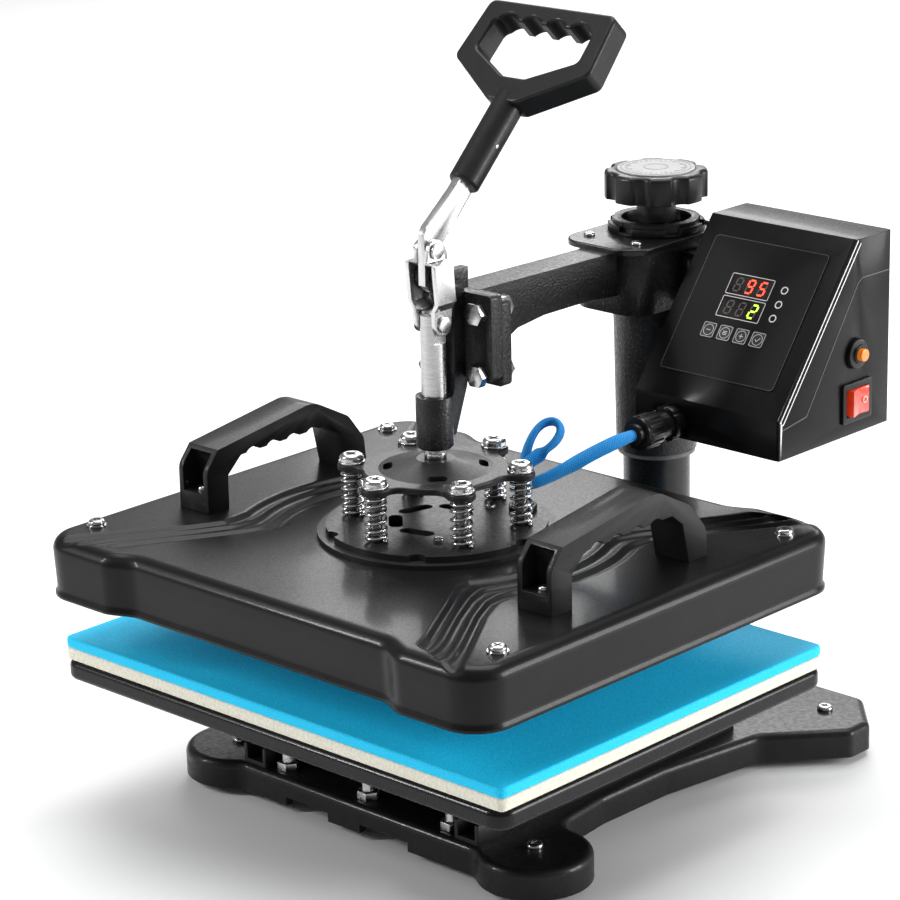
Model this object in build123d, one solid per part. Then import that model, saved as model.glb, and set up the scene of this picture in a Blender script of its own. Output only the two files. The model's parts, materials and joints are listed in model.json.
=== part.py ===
from build123d import *
import os
from math import cos, degrees, hypot, pi, radians, sin, tan

# Swing-away heat press with a toggle lever, millimetres, +Z up, +X to the operator's right,
# -Y towards the operator. The origin is on the table, under the middle of the footprint.

# ---- driving dimensions ----
HEAD_Y = -50.0           # axis of the toggle, head and lower platen
COLUMN_Y = 165.0         # axis of the column that the arm swings about
HALF_DEPTH = 218.0       # front of the head cover and rear edge of the base
RUN = 0.05               # radial running clearance of shafts, pins and bushes

PAD_TOP = 110.0          # working height of the silicone pad
PAD_X, PAD_Y = 380.0, 300.0
SILICONE_T, FOAM_T, TRAY_T = 7.0, 8.2, 12.8
TRAY_X, TRAY_Y = 382.0, 304.0
TRAY_BOTTOM = PAD_TOP - SILICONE_T - FOAM_T - TRAY_T

FOOT_T = 5.0             # rubber foot
BASE_TOP = 24.0
FRONT_FOOT_Y, REAR_FOOT_Y, FOOT_X = -106.0, 184.0, 129.5
FRONT_FOOT_R = 36.0
RAIL_X, RAIL_TOP = 93.0, 37.0

COVER_X, COVER_Y = 190.0, 168.0    # half sizes of the head cover
COVER_BOTTOM, COVER_TOP, SHEET = 145.0, 184.0, 2.0
PLATEN_BOTTOM, PLATEN_TOP = 142.5, 156.5
PLATEN_X, PLATEN_Y = 185.0, 150.0  # half sizes of the heated platen
COVER_SCREW_X, COVER_SCREW_Y = 172.5, 132.4
LOWER_DISC_TOP, UPPER_DISC_TOP = 186.8, 190.8
STAR_BOTTOM, STAR_TOP = 222.0, 226.0
SPRING_R = 54.25         # circle of the six spring bolts
BOLT_R = 4.0

PIN_A = (HEAD_Y - 2.0, 366.0)      # (y, z) upper link pin, on the lever
PIN_B_Z = 319.44                   # lower link pin, on the plunger axis
PIN_O = (HEAD_Y + 3.5, 347.1)      # fixed fork pin
PIN_R = 4.0
LUG_R = 8.5
LEVER_T = 5.6
ROD_R = 8.0
GUIDE_R, GUIDE_BOTTOM, GUIDE_TOP = 11.8, 239.0, 272.6
ARM_HALF_W = 12.0
FLANGE_Y = HEAD_Y + 21.0           # front face of the bracket flange

TUBE_R, TUBE_BORE, TUBE_TOP = 22.5, 19.0, 318.0
BUSH_R, SLEEVE_BORE = 24.0, 24.05
SLEEVE_BOTTOM, BOSS_TOP, TOP_PLATE = 188.0, 334.0, 338.0
SCREW_R = 6.0
KNOB_BOTTOM, KNOB_TOP = 359.5, 378.0

BOX_X0, BOX_X1 = 48.2, 164.2
BOX_FRONT, BOX_BEND, BOX_BACK = 86.6, 164.2, 199.6
BOX_BOTTOM, BOX_STEP, BOX_TOP = 228.4, 254.6, 355.4
BOX_SHEET = 1.5
CONNECTOR = (77.9, 238.0)          # (x, z) of the heater connector on the box front
CABLE_D = 7.0


# ---- small helpers ----
def box(x0, x1, y0, y1, z0, z1):
    return Pos((x0 + x1) / 2, (y0 + y1) / 2, (z0 + z1) / 2) * Box(x1 - x0, y1 - y0, z1 - z0)


def cyl(r, z0, z1, x=0.0, y=0.0):
    return Pos(x, y, (z0 + z1) / 2) * Cylinder(r, z1 - z0)


def rod_x(r, x0, x1, y, z):
    return Pos((x0 + x1) / 2, y, z) * Rot(0, 90, 0) * Cylinder(r, x1 - x0)


def rod_y(r, y0, y1, x, z):
    return Pos(x, (y0 + y1) / 2, z) * Rot(90, 0, 0) * Cylinder(r, y1 - y0)


def tube(r_out, r_in, z0, z1, x=0.0, y=0.0):
    return cyl(r_out, z0, z1, x, y) - cyl(r_in, z0 - 1, z1 + 1, x, y)


def plate(sketch, z0, z1):
    return Pos(0, 0, z0) * extrude(sketch, z1 - z0)


def side_plate(points, x0, x1):
    """Plate in the YZ plane between x0 and x1, from (y, z) points."""
    face = Plane.YZ * make_face(Polyline(*points, close=True))
    return Pos(x0, 0, 0) * extrude(face, x1 - x0, dir=(1, 0, 0))


def rounded(sketch, convex=0.0, concave=0.0):
    """Round a sketch's outer corners and fill its inner ones."""
    if concave:
        sketch = offset(offset(sketch, concave), -concave)
    if convex:
        sketch = offset(offset(sketch, -convex), convex)
    return sketch


def top_edges(part, z, tol=0.05):
    return part.edges().filter_by_position(Axis.Z, z - tol, z + tol)


def along_x_edges(part, x, tol=0.05):
    return part.edges().filter_by_position(Axis.X, x - tol, x + tol)


def cross_recess(z, size, depth):
    wide = size * 0.24
    return box(-size, size, -wide, wide, z - depth, z + 1) + box(-wide, wide, -size, size, z - depth, z + 1)


def pan_screw(head_r, head_h, shank_r, length):
    """Cross-recess pan-head screw standing on z = 0, shank down."""
    head = fillet(top_edges(cyl(head_r, 0, head_h), head_h), head_h * 0.6)
    head -= cross_recess(head_h, head_r * 0.55, head_h * 0.45)
    return head + cyl(shank_r, -length, 0)


def hex_bolt(across, head_h, shank_r, length):
    head = extrude(RegularPolygon(across / 2, 6, major_radius=False), head_h)
    crown = Cone(across * 0.95, across * 0.52, head_h * 2, align=(Align.CENTER, Align.CENTER, Align.MIN))
    head = head & crown
    return head + cyl(shank_r, -length, 0)


def group(parts):
    return Compound(children=[p.solid() if len(p.solids()) == 1 else p for p in parts])


def mirrored(part):
    return mirror(part, Plane.YZ)


def around_head(angle, radius):
    return radius * cos(radians(angle)), HEAD_Y + radius * sin(radians(angle))


SPRING_PLACES = [around_head(30 + 60 * k, SPRING_R) for k in range(6)]
COVER_SCREWS = [(sx * COVER_SCREW_X, HEAD_Y + sy * COVER_SCREW_Y) for sx in (-1, 1) for sy in (-1, 1)]
FEET = [(sx * FOOT_X, y) for sx in (-1, 1) for y in (FRONT_FOOT_Y, REAR_FOOT_Y)]
STUDS = [(x, y) for y in (-118, 40) for x in (-72, 0, 72)]


# ---- base ----
def base_outline():
    neck = Polyline((0, -131), (118, -131), (118, -80), (111, -20), (112, 40), (124, 120),
                    (165, 166), (165, 186), (136, HALF_DEPTH), (0, HALF_DEPTH), close=True)
    half = make_face(neck) + Pos(FOOT_X, FRONT_FOOT_Y) * Circle(FRONT_FOOT_R)
    return rounded(half + mirrored(half), convex=7, concave=16)


def base_frame():
    outline = base_outline()
    body = plate(outline, FOOT_T, BASE_TOP)
    body = fillet(top_edges(body, BASE_TOP), 5)
    body -= plate(offset(outline, -6), FOOT_T - 1, BASE_TOP - 6)
    for x, y in FEET:
        body += cyl(14, FOOT_T, BASE_TOP - 5, x, y)
        body -= cyl(2.6, FOOT_T - 1, BASE_TOP + 1, x, y)
    body += cyl(40, FOOT_T, BASE_TOP - 5, 0, COLUMN_Y)
    for y in (-90, -10, 70):
        body += box(-100, 100, y - 3, y + 3, FOOT_T + 3, BASE_TOP - 5)
    for x0, x1 in ((-62, -24), (4, 46)):
        body -= box(x0, x1, -140, -122, FOOT_T - 1, FOOT_T + 6)
    for x, y in column_bolt_places():
        body -= cyl(4.1, FOOT_T - 1, BASE_TOP + 1, x, y)
    for x, y in rail_screw_places():
        body -= cyl(2.6, FOOT_T - 1, BASE_TOP + 1, x, y)
    for x, y in STUDS:
        body -= cyl(4.05, BASE_TOP - 5.1, BASE_TOP + 1, x, y)
    return body


def column_bolt_places():
    return [(33 * cos(radians(a)), COLUMN_Y + 33 * sin(radians(a))) for a in (45, 135, 225, 315)]


def rail_screw_places():
    return [(sx * RAIL_X, y) for sx in (-1, 1) for y in (-104, 96)]


def rubber_feet():
    foot = cyl(15, 0, FOOT_T) - cyl(7, -1, 2)
    return group([Pos(x, y, 0) * foot for x, y in FEET])


def foot_screws():
    screw = pan_screw(5.2, 3.4, 2.5, 17)
    return [Pos(x, y, BASE_TOP) * screw for x, y in FEET]


def base_rails():
    """Two channel rails that carry the lower platen."""
    rail = box(-10, 10, -128, 120, BASE_TOP, RAIL_TOP) - box(-7, 7, -129, 121, BASE_TOP + 3, RAIL_TOP + 1)
    rail = fillet(rail.edges().filter_by(Axis.Z).sort_by(Axis.Y)[:4], 0.9)
    for y in (-104, 96):
        rail -= cyl(2.7, BASE_TOP - 1, BASE_TOP + 4, 0, y)
    return group([Pos(sx * RAIL_X, 0, 0) * rail for sx in (-1, 1)])


def rail_screws():
    screw = pan_screw(4.6, 3.0, 2.5, 14)
    return [Pos(x, y, BASE_TOP + 3) * screw for x, y in rail_screw_places()]


def cross_channels():
    """Two folded channels across the rails, open downwards, under the tray."""
    channel = box(-106, 106, -20, 20, RAIL_TOP, TRAY_BOTTOM)
    channel = fillet(top_edges(channel, TRAY_BOTTOM).filter_by(Axis.X), 2)
    channel -= box(-107, 107, -17, 17, RAIL_TOP - 1, TRAY_BOTTOM - 3)
    return group([Pos(0, y, 0) * channel for y in (-86, 6)])


def levelling_studs():
    stud = cyl(4.0, BASE_TOP - 5, TRAY_BOTTOM + 4)
    nut = extrude(RegularPolygon(6.5, 6, major_radius=False), 5.5)
    stud += Pos(0, 0, BASE_TOP) * nut + Pos(0, 0, TRAY_BOTTOM - 5.5) * nut
    return group([Pos(x, y, 0) * stud for x, y in STUDS])


def lower_tray():
    """Pressed tray with a rolled rim, under the pads."""
    z0, z1 = TRAY_BOTTOM, TRAY_BOTTOM + TRAY_T
    outline = RectangleRounded(TRAY_X, TRAY_Y, 12)
    tray = Pos(0, HEAD_Y, z0) * extrude(outline, TRAY_T)
    tray = fillet(top_edges(tray, z1), 4)
    tray = fillet(top_edges(tray, z0), 4)
    tray -= Pos(0, HEAD_Y, z0 - 1) * extrude(RectangleRounded(TRAY_X - 24, TRAY_Y - 24, 8), 7)
    for y in (-86, 6):
        tray += box(-106, 106, y - 20, y + 20, z0, z0 + 7)
    for x, y in STUDS:
        tray += cyl(9, z0, z0 + 8, x, y)
        tray -= cyl(4.05, z0 - 1, z0 + 4.2, x, y)
    return tray


def pad_layer(z0, z1, x, y):
    return Pos(0, HEAD_Y, z0) * extrude(RectangleRounded(x, y, 1.5), z1 - z0)


def foam_layer():
    top = PAD_TOP - SILICONE_T
    return pad_layer(top - FOAM_T, top, PAD_X, PAD_Y)


def silicone_pad():
    return pad_layer(PAD_TOP - SILICONE_T, PAD_TOP, PAD_X, PAD_Y)


# ---- column ----
def column_tube():
    column = tube(TUBE_R, TUBE_BORE, BASE_TOP, TUBE_TOP, 0, COLUMN_Y)
    flange = Pos(0, COLUMN_Y, BASE_TOP) * extrude(Circle(45), 6)
    flange = fillet(top_edges(flange, BASE_TOP + 6), 2)
    column += flange - cyl(TUBE_BORE, BASE_TOP - 1, BASE_TOP + 7, 0, COLUMN_Y)
    for x, y in column_bolt_places():
        column -= cyl(4.1, BASE_TOP - 1, BASE_TOP + 7, x, y)
    return column


def column_bolts():
    bolt = hex_bolt(13, 5.3, 4.0, 20)
    return [Pos(x, y, BASE_TOP + 6) * bolt for x, y in column_bolt_places()]


def column_nut():
    return tube(TUBE_BORE, SCREW_R + RUN, TUBE_TOP - 22, TUBE_TOP, 0, COLUMN_Y)


def column_bushes():
    """Two plastic bushes that guide the sleeve on the column, the lower one with a collar."""
    low = tube(BUSH_R, TUBE_R + RUN, SLEEVE_BOTTOM - 3, SLEEVE_BOTTOM + 26, 0, COLUMN_Y)
    low += tube(26, TUBE_R + RUN, SLEEVE_BOTTOM - 3, SLEEVE_BOTTOM - 0.1, 0, COLUMN_Y)
    high = tube(BUSH_R, TUBE_R + RUN, TUBE_TOP - 32, TUBE_TOP - 2, 0, COLUMN_Y)
    return group([low, high])


def thrust_collar():
    """Collar that the screw lifts and lowers the arm with."""
    return tube(15, SCREW_R + RUN, BOSS_TOP - 8, BOSS_TOP - 0.2, 0, COLUMN_Y)


# ---- pressure knob ----
def pressure_screw():
    screw = cyl(SCREW_R, TUBE_TOP - 40, KNOB_TOP - 8, 0, COLUMN_Y)
    return screw + tube(13, 5, TOP_PLATE + 6, KNOB_BOTTOM, 0, COLUMN_Y)


def pressure_knob():
    """Eight-lobed hand knob with a seat for the cap disc."""
    lobes = Circle(34)
    for k in range(8):
        angle = radians(22.5 + 45 * k)
        lobes -= Pos(38.5 * cos(angle), 38.5 * sin(angle)) * Circle(8)
    knob = Pos(0, COLUMN_Y, KNOB_BOTTOM) * extrude(rounded(lobes, convex=1.5), KNOB_TOP - KNOB_BOTTOM)
    knob = fillet(top_edges(knob, KNOB_TOP), 3)
    knob -= cyl(26, KNOB_TOP - 1.2, KNOB_TOP + 1, 0, COLUMN_Y)
    knob -= cyl(SCREW_R, KNOB_BOTTOM - 1, KNOB_TOP - 8, 0, COLUMN_Y)
    return knob


def knob_cap():
    cap = cyl(25.8, KNOB_TOP - 1.2, KNOB_TOP + 1.0, 0, COLUMN_Y)
    return fillet(top_edges(cap, KNOB_TOP + 1.0), 0.8)


# ---- arm ----
def arm_casting():
    """Arm beam, its end plate and the boss and sleeve that turn on the column."""
    beam_points = [(FLANGE_Y + 10, 280), (FLANGE_Y + 10, 336), (100, 334), (140, 334), (140, 298),
                   (118, 304), (85, 307), (40, 307), (15, 304), (-2, 296), (-6, 280)]
    arm = side_plate(beam_points, -ARM_HALF_W, ARM_HALF_W)
    end_plate = box(-30, 30, FLANGE_Y + 10, FLANGE_Y + 18, 276, 331)
    end_plate = fillet(end_plate.edges().filter_by(Axis.Y), 3)
    boss = RectangleRounded(60, 92, 18)
    boss = Pos(0, COLUMN_Y - 8, 292) * extrude(boss, BOSS_TOP - 292)
    cone = Pos(0, COLUMN_Y, 276) * Cone(27.5, 29.5, 32)
    arm += end_plate + boss + cone
    arm += Pos(0, COLUMN_Y, (SLEEVE_BOTTOM + 276) / 2) * Cone(27, 28.5, 276 - SLEEVE_BOTTOM)
    arm -= cyl(SLEEVE_BORE, SLEEVE_BOTTOM - 1, BOSS_TOP - 8, 0, COLUMN_Y)
    arm -= cyl(15 + RUN, BOSS_TOP - 8.2, BOSS_TOP + 1, 0, COLUMN_Y)
    for x, z in flange_bolt_places():
        arm -= rod_y(4.1, FLANGE_Y + 5, FLANGE_Y + 20, x, z)
    for x, y in top_screw_places():
        arm -= cyl(2.1, BOSS_TOP - 10, BOSS_TOP + 1, x, y)
    for z in BOX_BRACKET_Z:
        arm -= rod_x(3.1, 20, 40, COLUMN_Y, z)
    return arm


def flange_bolt_places():
    return [(sx * 20, z) for sx in (-1, 1) for z in (284.5, 324.5)]


def top_screw_places():
    return [(sx * x, COLUMN_Y + dy) for sx in (-1, 1) for x, dy in ((20, -44), (19, 32))]


def arm_top_plate():
    top = Pos(0, COLUMN_Y - 11, BOSS_TOP) * extrude(RectangleRounded(67, 100, 18), TOP_PLATE - BOSS_TOP)
    top = fillet(top_edges(top, TOP_PLATE), 1.2)
    top -= cyl(SCREW_R + 1, BOSS_TOP - 1, TOP_PLATE + 1, 0, COLUMN_Y)
    for x, y in top_screw_places():
        top -= cyl(2.1, BOSS_TOP - 1, TOP_PLATE + 1, x, y)
    return top


def top_plate_screws():
    screw = pan_screw(3.6, 2.4, 2.0, 9)
    return [Pos(x, y, TOP_PLATE) * screw for x, y in top_screw_places()]


def lock_ring():
    """Notched ring round the screw on the top plate."""
    ring = tube(32, 23, TOP_PLATE, TOP_PLATE + 5.5)
    ring += tube(29, 23, TOP_PLATE + 5.5, TOP_PLATE + 8)
    for k in range(6):
        ring -= Rot(0, 0, 60 * k + 30) * box(28, 34, -5, 5, TOP_PLATE + 2, TOP_PLATE + 9)
    return Pos(0, COLUMN_Y, 0) * ring


def fork_lug(x0, x1):
    y, z = PIN_O
    return rod_x(LUG_R, x0, x1, y, z) + box(x0, x1, y, FLANGE_Y + 2, z - LUG_R, z + 5)


def toggle_bracket():
    """Casting that guides the plunger and carries the fork pin, bolted to the arm."""
    guide = cyl(GUIDE_R, GUIDE_BOTTOM, GUIDE_TOP, 0, HEAD_Y)
    guide = chamfer(top_edges(guide, GUIDE_BOTTOM), 1.5)
    web = side_plate([(HEAD_Y + 10.5, 352), (HEAD_Y + 10.5, 276), (HEAD_Y + 7, 268), (HEAD_Y + 7, 246),
                      (HEAD_Y + 11, 246), (FLANGE_Y + 1, 276), (FLANGE_Y + 1, 334), (FLANGE_Y - 3, 346)],
                     -8, 8)
    flange = box(-30, 30, FLANGE_Y, FLANGE_Y + 10, 281, 336)
    flange = fillet(flange.edges().filter_by(Axis.Y), 3)
    bracket = guide + web + flange
    bracket += fork_lug(3.2, 9.4) + fork_lug(-9.4, -3.2)
    bracket -= box(-3.2, 3.2, HEAD_Y - 15, HEAD_Y + 17.6, PIN_O[1] - 18, 365)
    bracket -= cyl(ROD_R + RUN, GUIDE_BOTTOM - 1, GUIDE_TOP + 1, 0, HEAD_Y)
    bracket -= rod_x(PIN_R, -12, 12, *PIN_O)
    for x, z in flange_bolt_places():
        bracket -= rod_y(4.1, FLANGE_Y - 1, FLANGE_Y + 11, x, z)
    return bracket


def fork_pin():
    return rod_x(PIN_R, -9.4, 9.4, *PIN_O)


def bracket_bolts():
    bolt = hex_bolt(13, 6.0, 4.0, 25)
    nut = extrude(RegularPolygon(6.5, 6, major_radius=False), 6) - cyl(4.0, -1, 7)
    placed = [Pos(x, FLANGE_Y, z) * Rot(90, 0, 0) * bolt for x, z in flange_bolt_places()]
    placed += [Pos(x, FLANGE_Y + 24, z) * Rot(90, 0, 0) * nut for x, z in flange_bolt_places()]
    return placed


# ---- lever ----
def lever_point(along, across=0.0):
    """Point (y, z) on the lever's grip line: along it from the bend, and across it."""
    y0, z0 = HEAD_Y + 3.0, 374.0
    a = radians(45)
    return (y0 + along * sin(a) - across * cos(a), z0 + along * cos(a) + across * sin(a))


GRIP_START, SLEEVE_LENGTH = 38.0, 66.0
HANDLE_START = GRIP_START + SLEEVE_LENGTH


def lever_bar():
    """Dog-leg flat bar: upright at the fork, then leaning back into the grip."""
    y, z = PIN_O
    front = HEAD_Y - 8.5
    points = [(front, z - 3), (front, 377), (front + 3, 381), lever_point(30, 7.5), lever_point(98, 7.5),
              lever_point(98, -7.5), lever_point(0, -7.5), (y + 8, 362), (y + 8, z)]
    bar = side_plate(points, -LEVER_T / 2, LEVER_T / 2) + rod_x(8, -LEVER_T / 2, LEVER_T / 2, y, z)
    bar += rod_x(8, -LEVER_T / 2, LEVER_T / 2, y - 3.5, z)
    bar -= rod_x(PIN_R + RUN, -5, 5, y, z) + rod_x(1.5, -5, 5, *lever_point(GRIP_START + 30))
    return bar - rod_x(PIN_R, -5, 5, *PIN_A)


def upper_link_pin():
    pin = rod_x(PIN_R, -6.8, 6.8, *PIN_A)
    heads = rod_x(5.2, -8.4, -6.6, *PIN_A) + rod_x(5.2, 6.6, 8.4, *PIN_A)
    return pin + heads


def lever_frame():
    """Plane across the lever at the start of the grip: local x is +X, local z runs along the lever."""
    y, z = lever_point(GRIP_START)
    return Plane(origin=(0, y, z), x_dir=(1, 0, 0), z_dir=(0, sin(radians(45)), cos(radians(45))))


def handle_outline():
    """Outer outline of the D grip, in its own plane, from the top of the sleeve."""
    right = [(0, -8), (12, -8), (56, 19), (52, 64)]
    left = [(-x, s) for x, s in reversed(right[1:])]
    return fillet(make_face(Polyline(*right, *left, close=True)).vertices(), 6)


def handle_opening():
    right = [(0, 10), (9, 10), (42, 27), (41, 50)]
    left = [(-x, s) for x, s in reversed(right[1:])]
    opening = fillet(make_face(Polyline(*right, *left, close=True)).vertices(), 5)
    for k in range(4):
        opening += Pos(-29.5 + 19.7 * k, 46) * Circle(8.6)
    return opening


def lever_grip():
    """Moulded D grip with finger scallops and its tubular shank."""
    frame = lever_frame()
    shank = extrude(Circle(10.2), SLEEVE_LENGTH)
    shank = fillet(top_edges(shank, 0), 2)
    handle = extrude(handle_outline() - handle_opening(), 9, both=True)
    front, back = along_z_faces(handle)
    handle = fillet(front.edges() + back.edges(), 2.2)
    handle = Pos(0, 0, SLEEVE_LENGTH) * Rot(90, 0, 0) * handle
    grip = frame * (shank + handle)
    slot = side_plate([lever_point(20, 7.6), lever_point(98.5, 7.6), lever_point(98.5, -7.6),
                       lever_point(20, -7.6)], -LEVER_T / 2 - 0.1, LEVER_T / 2 + 0.1)
    y, z = lever_point(GRIP_START + 30)
    return grip - slot - rod_x(1.5, -12, 12, y, z)


def along_z_faces(part):
    faces = part.faces().sort_by(Axis.Z)
    return faces[-1], faces[0]


def grip_pin():
    y, z = lever_point(GRIP_START + 30)
    return rod_x(1.5, -9.8, 9.8, y, z)


# ---- yoke: two joggled link cheeks ----
CHEEK_T = 3.2
CHEEK_IN, CHEEK_OUT, CHEEK_LOW = 3.1, 9.8, 6.3   # inner faces at the ears, round the fork, at the plunger


def yoke_cheek():
    """Right cheek: ears close to the lever and the plunger, bulged out round the fork."""
    ya, za = PIN_A
    ear, wide, low = CHEEK_IN + CHEEK_T, CHEEK_OUT + CHEEK_T, CHEEK_LOW + CHEEK_T
    profile = [(CHEEK_IN, za + 9), (ear, za + 9), (ear, za - 6.2), (wide, za - 7.4), (wide, PIN_B_Z + 14),
               (low, PIN_B_Z + 9), (low, PIN_B_Z - 9), (CHEEK_LOW, PIN_B_Z - 9), (CHEEK_LOW, PIN_B_Z + 9),
               (CHEEK_OUT, PIN_B_Z + 14), (CHEEK_OUT, za - 10), (CHEEK_IN, za - 9.2)]
    face = Plane.XZ * make_face(Polyline(*profile, close=True))
    strip = Pos(0, HEAD_Y + 10, 0) * extrude(face, 24, dir=(0, -1, 0))
    outline = rod_x(6.8, 0, 20, ya, za) + rod_x(7.3, 0, 20, HEAD_Y, PIN_B_Z)
    front = [(ya - 6.7, za), (ya - 8, za - 10), (HEAD_Y - 8, PIN_B_Z + 14), (HEAD_Y - 7.2, PIN_B_Z)]
    rear = [(HEAD_Y + 7.2, PIN_B_Z), (HEAD_Y + 8, PIN_B_Z + 14), (ya + 8, za - 10), (ya + 6.7, za)]
    outline += side_plate(front + rear, 0, 20)
    fork_zone = box(0, CHEEK_OUT - 0.05, ya - 20, ya + 20, PIN_O[1] - 14, za) - rod_x(10.7, -1, 20, ya, za)
    cheek = (strip & outline) - fork_zone
    return cheek - rod_x(PIN_R + RUN, 0, 20, ya, za)


def yoke_stub_pins():
    """Riveted stub pins of the lower link pivot, flush inside the cheeks."""
    stub = rod_x(PIN_R, CHEEK_LOW, CHEEK_LOW + CHEEK_T, HEAD_Y, PIN_B_Z)
    stub += rod_x(5.2, CHEEK_LOW + CHEEK_T, CHEEK_LOW + CHEEK_T + 1.8, HEAD_Y, PIN_B_Z)
    return group([stub, mirrored(stub)])


def yoke_right():
    return yoke_cheek() - rod_x(PIN_R, 0, 20, HEAD_Y, PIN_B_Z)


# ---- plunger ----
def plunger_rod():
    """Ground rod with a flatted tongue at the top and a thinner end through the star plate."""
    tongue_bottom = PIN_B_Z - 12.5
    rod = cyl(ROD_R, 236.5, PIN_B_Z + 7, 0, HEAD_Y) + cyl(5, STAR_BOTTOM - 8, 237, 0, HEAD_Y)
    for sx in (-1, 1):
        rod -= box(*sorted((sx * 6.0, sx * 12)), HEAD_Y - 12, HEAD_Y + 12, tongue_bottom, PIN_B_Z + 8)
    return chamfer(top_edges(rod, PIN_B_Z + 7), 1.5)


def plunger_nuts():
    collar = tube(7, 5, STAR_TOP + 6, 236.4, 0, HEAD_Y)
    nut = Pos(0, HEAD_Y, STAR_BOTTOM - 6) * extrude(RegularPolygon(8.5, 6, major_radius=False), 8)
    return group([collar, nut - cyl(5, STAR_BOTTOM - 7, STAR_TOP, 0, HEAD_Y)])


def star_outline():
    star = Circle(46)
    for k in range(6):
        angle = radians(30 + 60 * k)
        x, y = SPRING_R * cos(angle), SPRING_R * sin(angle)
        star += Pos(x, y) * Circle(9)
        star += Pos(x * 0.7, y * 0.7) * Rot(0, 0, degrees(angle)) * Rectangle(32, 18)
    return rounded(star, concave=9)


def star_plate():
    """Pressure plate: six lobes, raised middle, four windows."""
    star = Pos(0, HEAD_Y, STAR_BOTTOM) * extrude(star_outline(), STAR_TOP - STAR_BOTTOM)
    star = fillet(top_edges(star, STAR_TOP), 1.2)
    star += Pos(0, HEAD_Y, STAR_TOP + 3) * Cone(36, 12, 6)
    star -= Pos(0, HEAD_Y, STAR_BOTTOM + 1) * Cone(34, 12, 4)
    for angle in (45, 135, 225, 315):
        x, y = 30 * cos(radians(angle)), 30 * sin(radians(angle))
        slot = Pos(x, y) * Rot(0, 0, angle + 90) * SlotOverall(13, 6)
        star -= Pos(0, HEAD_Y, STAR_BOTTOM - 2) * extrude(slot, 14)
    for x, y in SPRING_PLACES:
        star -= cyl(BOLT_R + 0.4, STAR_BOTTOM - 1, STAR_TOP + 1, x, y)
    return star - cyl(5, STAR_BOTTOM - 1, STAR_TOP + 8, 0, HEAD_Y)


# ---- heated head ----
def cover_plan(inset=0.0):
    """Plan of the cover: four corner blocks with the front and back walls set in between them."""
    plan = RectangleRounded(2 * COVER_X, 2 * COVER_Y, 25)
    recess = make_face(Polyline((-126, COVER_Y + 9), (-114, COVER_Y - 8), (114, COVER_Y - 8),
                                (126, COVER_Y + 9), close=True))
    plan = plan - recess - mirror(recess, Plane.XZ)
    plan = rounded(plan, convex=5, concave=5)
    return offset(plan, -inset) if inset else plan


def head_cover():
    """Pressed steel shell over the head."""
    outer = Pos(0, HEAD_Y, COVER_BOTTOM) * extrude(cover_plan(), COVER_TOP - COVER_BOTTOM)
    outer = fillet(top_edges(outer, COVER_TOP), 9)
    depth = COVER_TOP - SHEET - COVER_BOTTOM + 1
    inner = Pos(0, HEAD_Y, COVER_BOTTOM - 1) * extrude(cover_plan(SHEET), depth)
    inner = fillet(top_edges(inner, COVER_TOP - SHEET), 7)
    cover = outer - inner
    for x, y in COVER_SCREWS:
        cover -= cyl(2.6, COVER_TOP - 4, COVER_TOP + 1, x, y)
    for x, y in SPRING_PLACES:
        cover -= cyl(BOLT_R + 0.2, COVER_TOP - 4, COVER_TOP + 1, x, y)
    for x, y in grip_screw_places():
        cover -= cyl(2.6, COVER_TOP - 4, COVER_TOP + 1, x, y)
    return cover - cyl(7, COVER_TOP - 4, COVER_TOP + 1, *GLAND)


GLAND = (28.5, -1.0)       # where the heater lead enters the head
DISC_SCREW_ANGLES = (0, 60, 120, 180, 240, 300)


def disc(radius, z0, z1, hole_r):
    body = cyl(radius, z0, z1, 0, HEAD_Y)
    for x, y in SPRING_PLACES:
        body -= cyl(BOLT_R + hole_r, z0 - 1, z1 + 1, x, y)
    for angle in (105, 165, 225, 285):
        cx, cy = 26 * cos(radians(angle)), 26 * sin(radians(angle))
        slot = Pos(cx, cy) * Rot(0, 0, angle + 90) * SlotOverall(24, 9)
        body -= Pos(0, HEAD_Y, z0 - 1) * extrude(slot, z1 - z0 + 2)
    return body - cyl(7, z0 - 1, z1 + 1, *GLAND)


def lower_disc():
    return fillet(top_edges(disc(75.6, COVER_TOP, LOWER_DISC_TOP, 0.2), LOWER_DISC_TOP)[-1:], 0.8)


def upper_disc():
    body = disc(70, LOWER_DISC_TOP, UPPER_DISC_TOP, 0.0)
    for angle in DISC_SCREW_ANGLES:
        x, y = around_head(angle + 3, 71.5)
        body -= cyl(6, LOWER_DISC_TOP - 1, UPPER_DISC_TOP + 1, x, y)
    for angle in (75, 195, 315):
        body -= cyl(2.1, LOWER_DISC_TOP - 1, UPPER_DISC_TOP + 1, *around_head(angle, 40))
    return body


def disc_screws():
    screw = pan_screw(3.4, 2.2, 2.0, 4)
    return [Pos(*around_head(a, 40), UPPER_DISC_TOP) * screw for a in (75, 195, 315)]


def spring_bolts():
    bolt = pan_screw(7.6, 4.4, BOLT_R, 47)
    washer = fillet(top_edges(cyl(8.4, 0, 1.4), 1.4), 0.5) - cyl(BOLT_R, -1, 2)
    one = Pos(0, 0, 1.4) * bolt + washer
    return group([Pos(x, y, STAR_TOP + 0.1) * one for x, y in SPRING_PLACES])


def coil_springs():
    low, high, wire = UPPER_DISC_TOP + 0.1, STAR_BOTTOM - 0.1, 1.1
    height = high - low - 2 * wire
    path = Helix(pitch=height / 5.0, height=height, radius=6.3)
    section = Plane(origin=path @ 0, z_dir=path % 0) * Circle(wire)
    coil = sweep(section, path=path, is_frenet=True)
    return group([Pos(x, y, low + wire) * coil for x, y in SPRING_PLACES])


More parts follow.
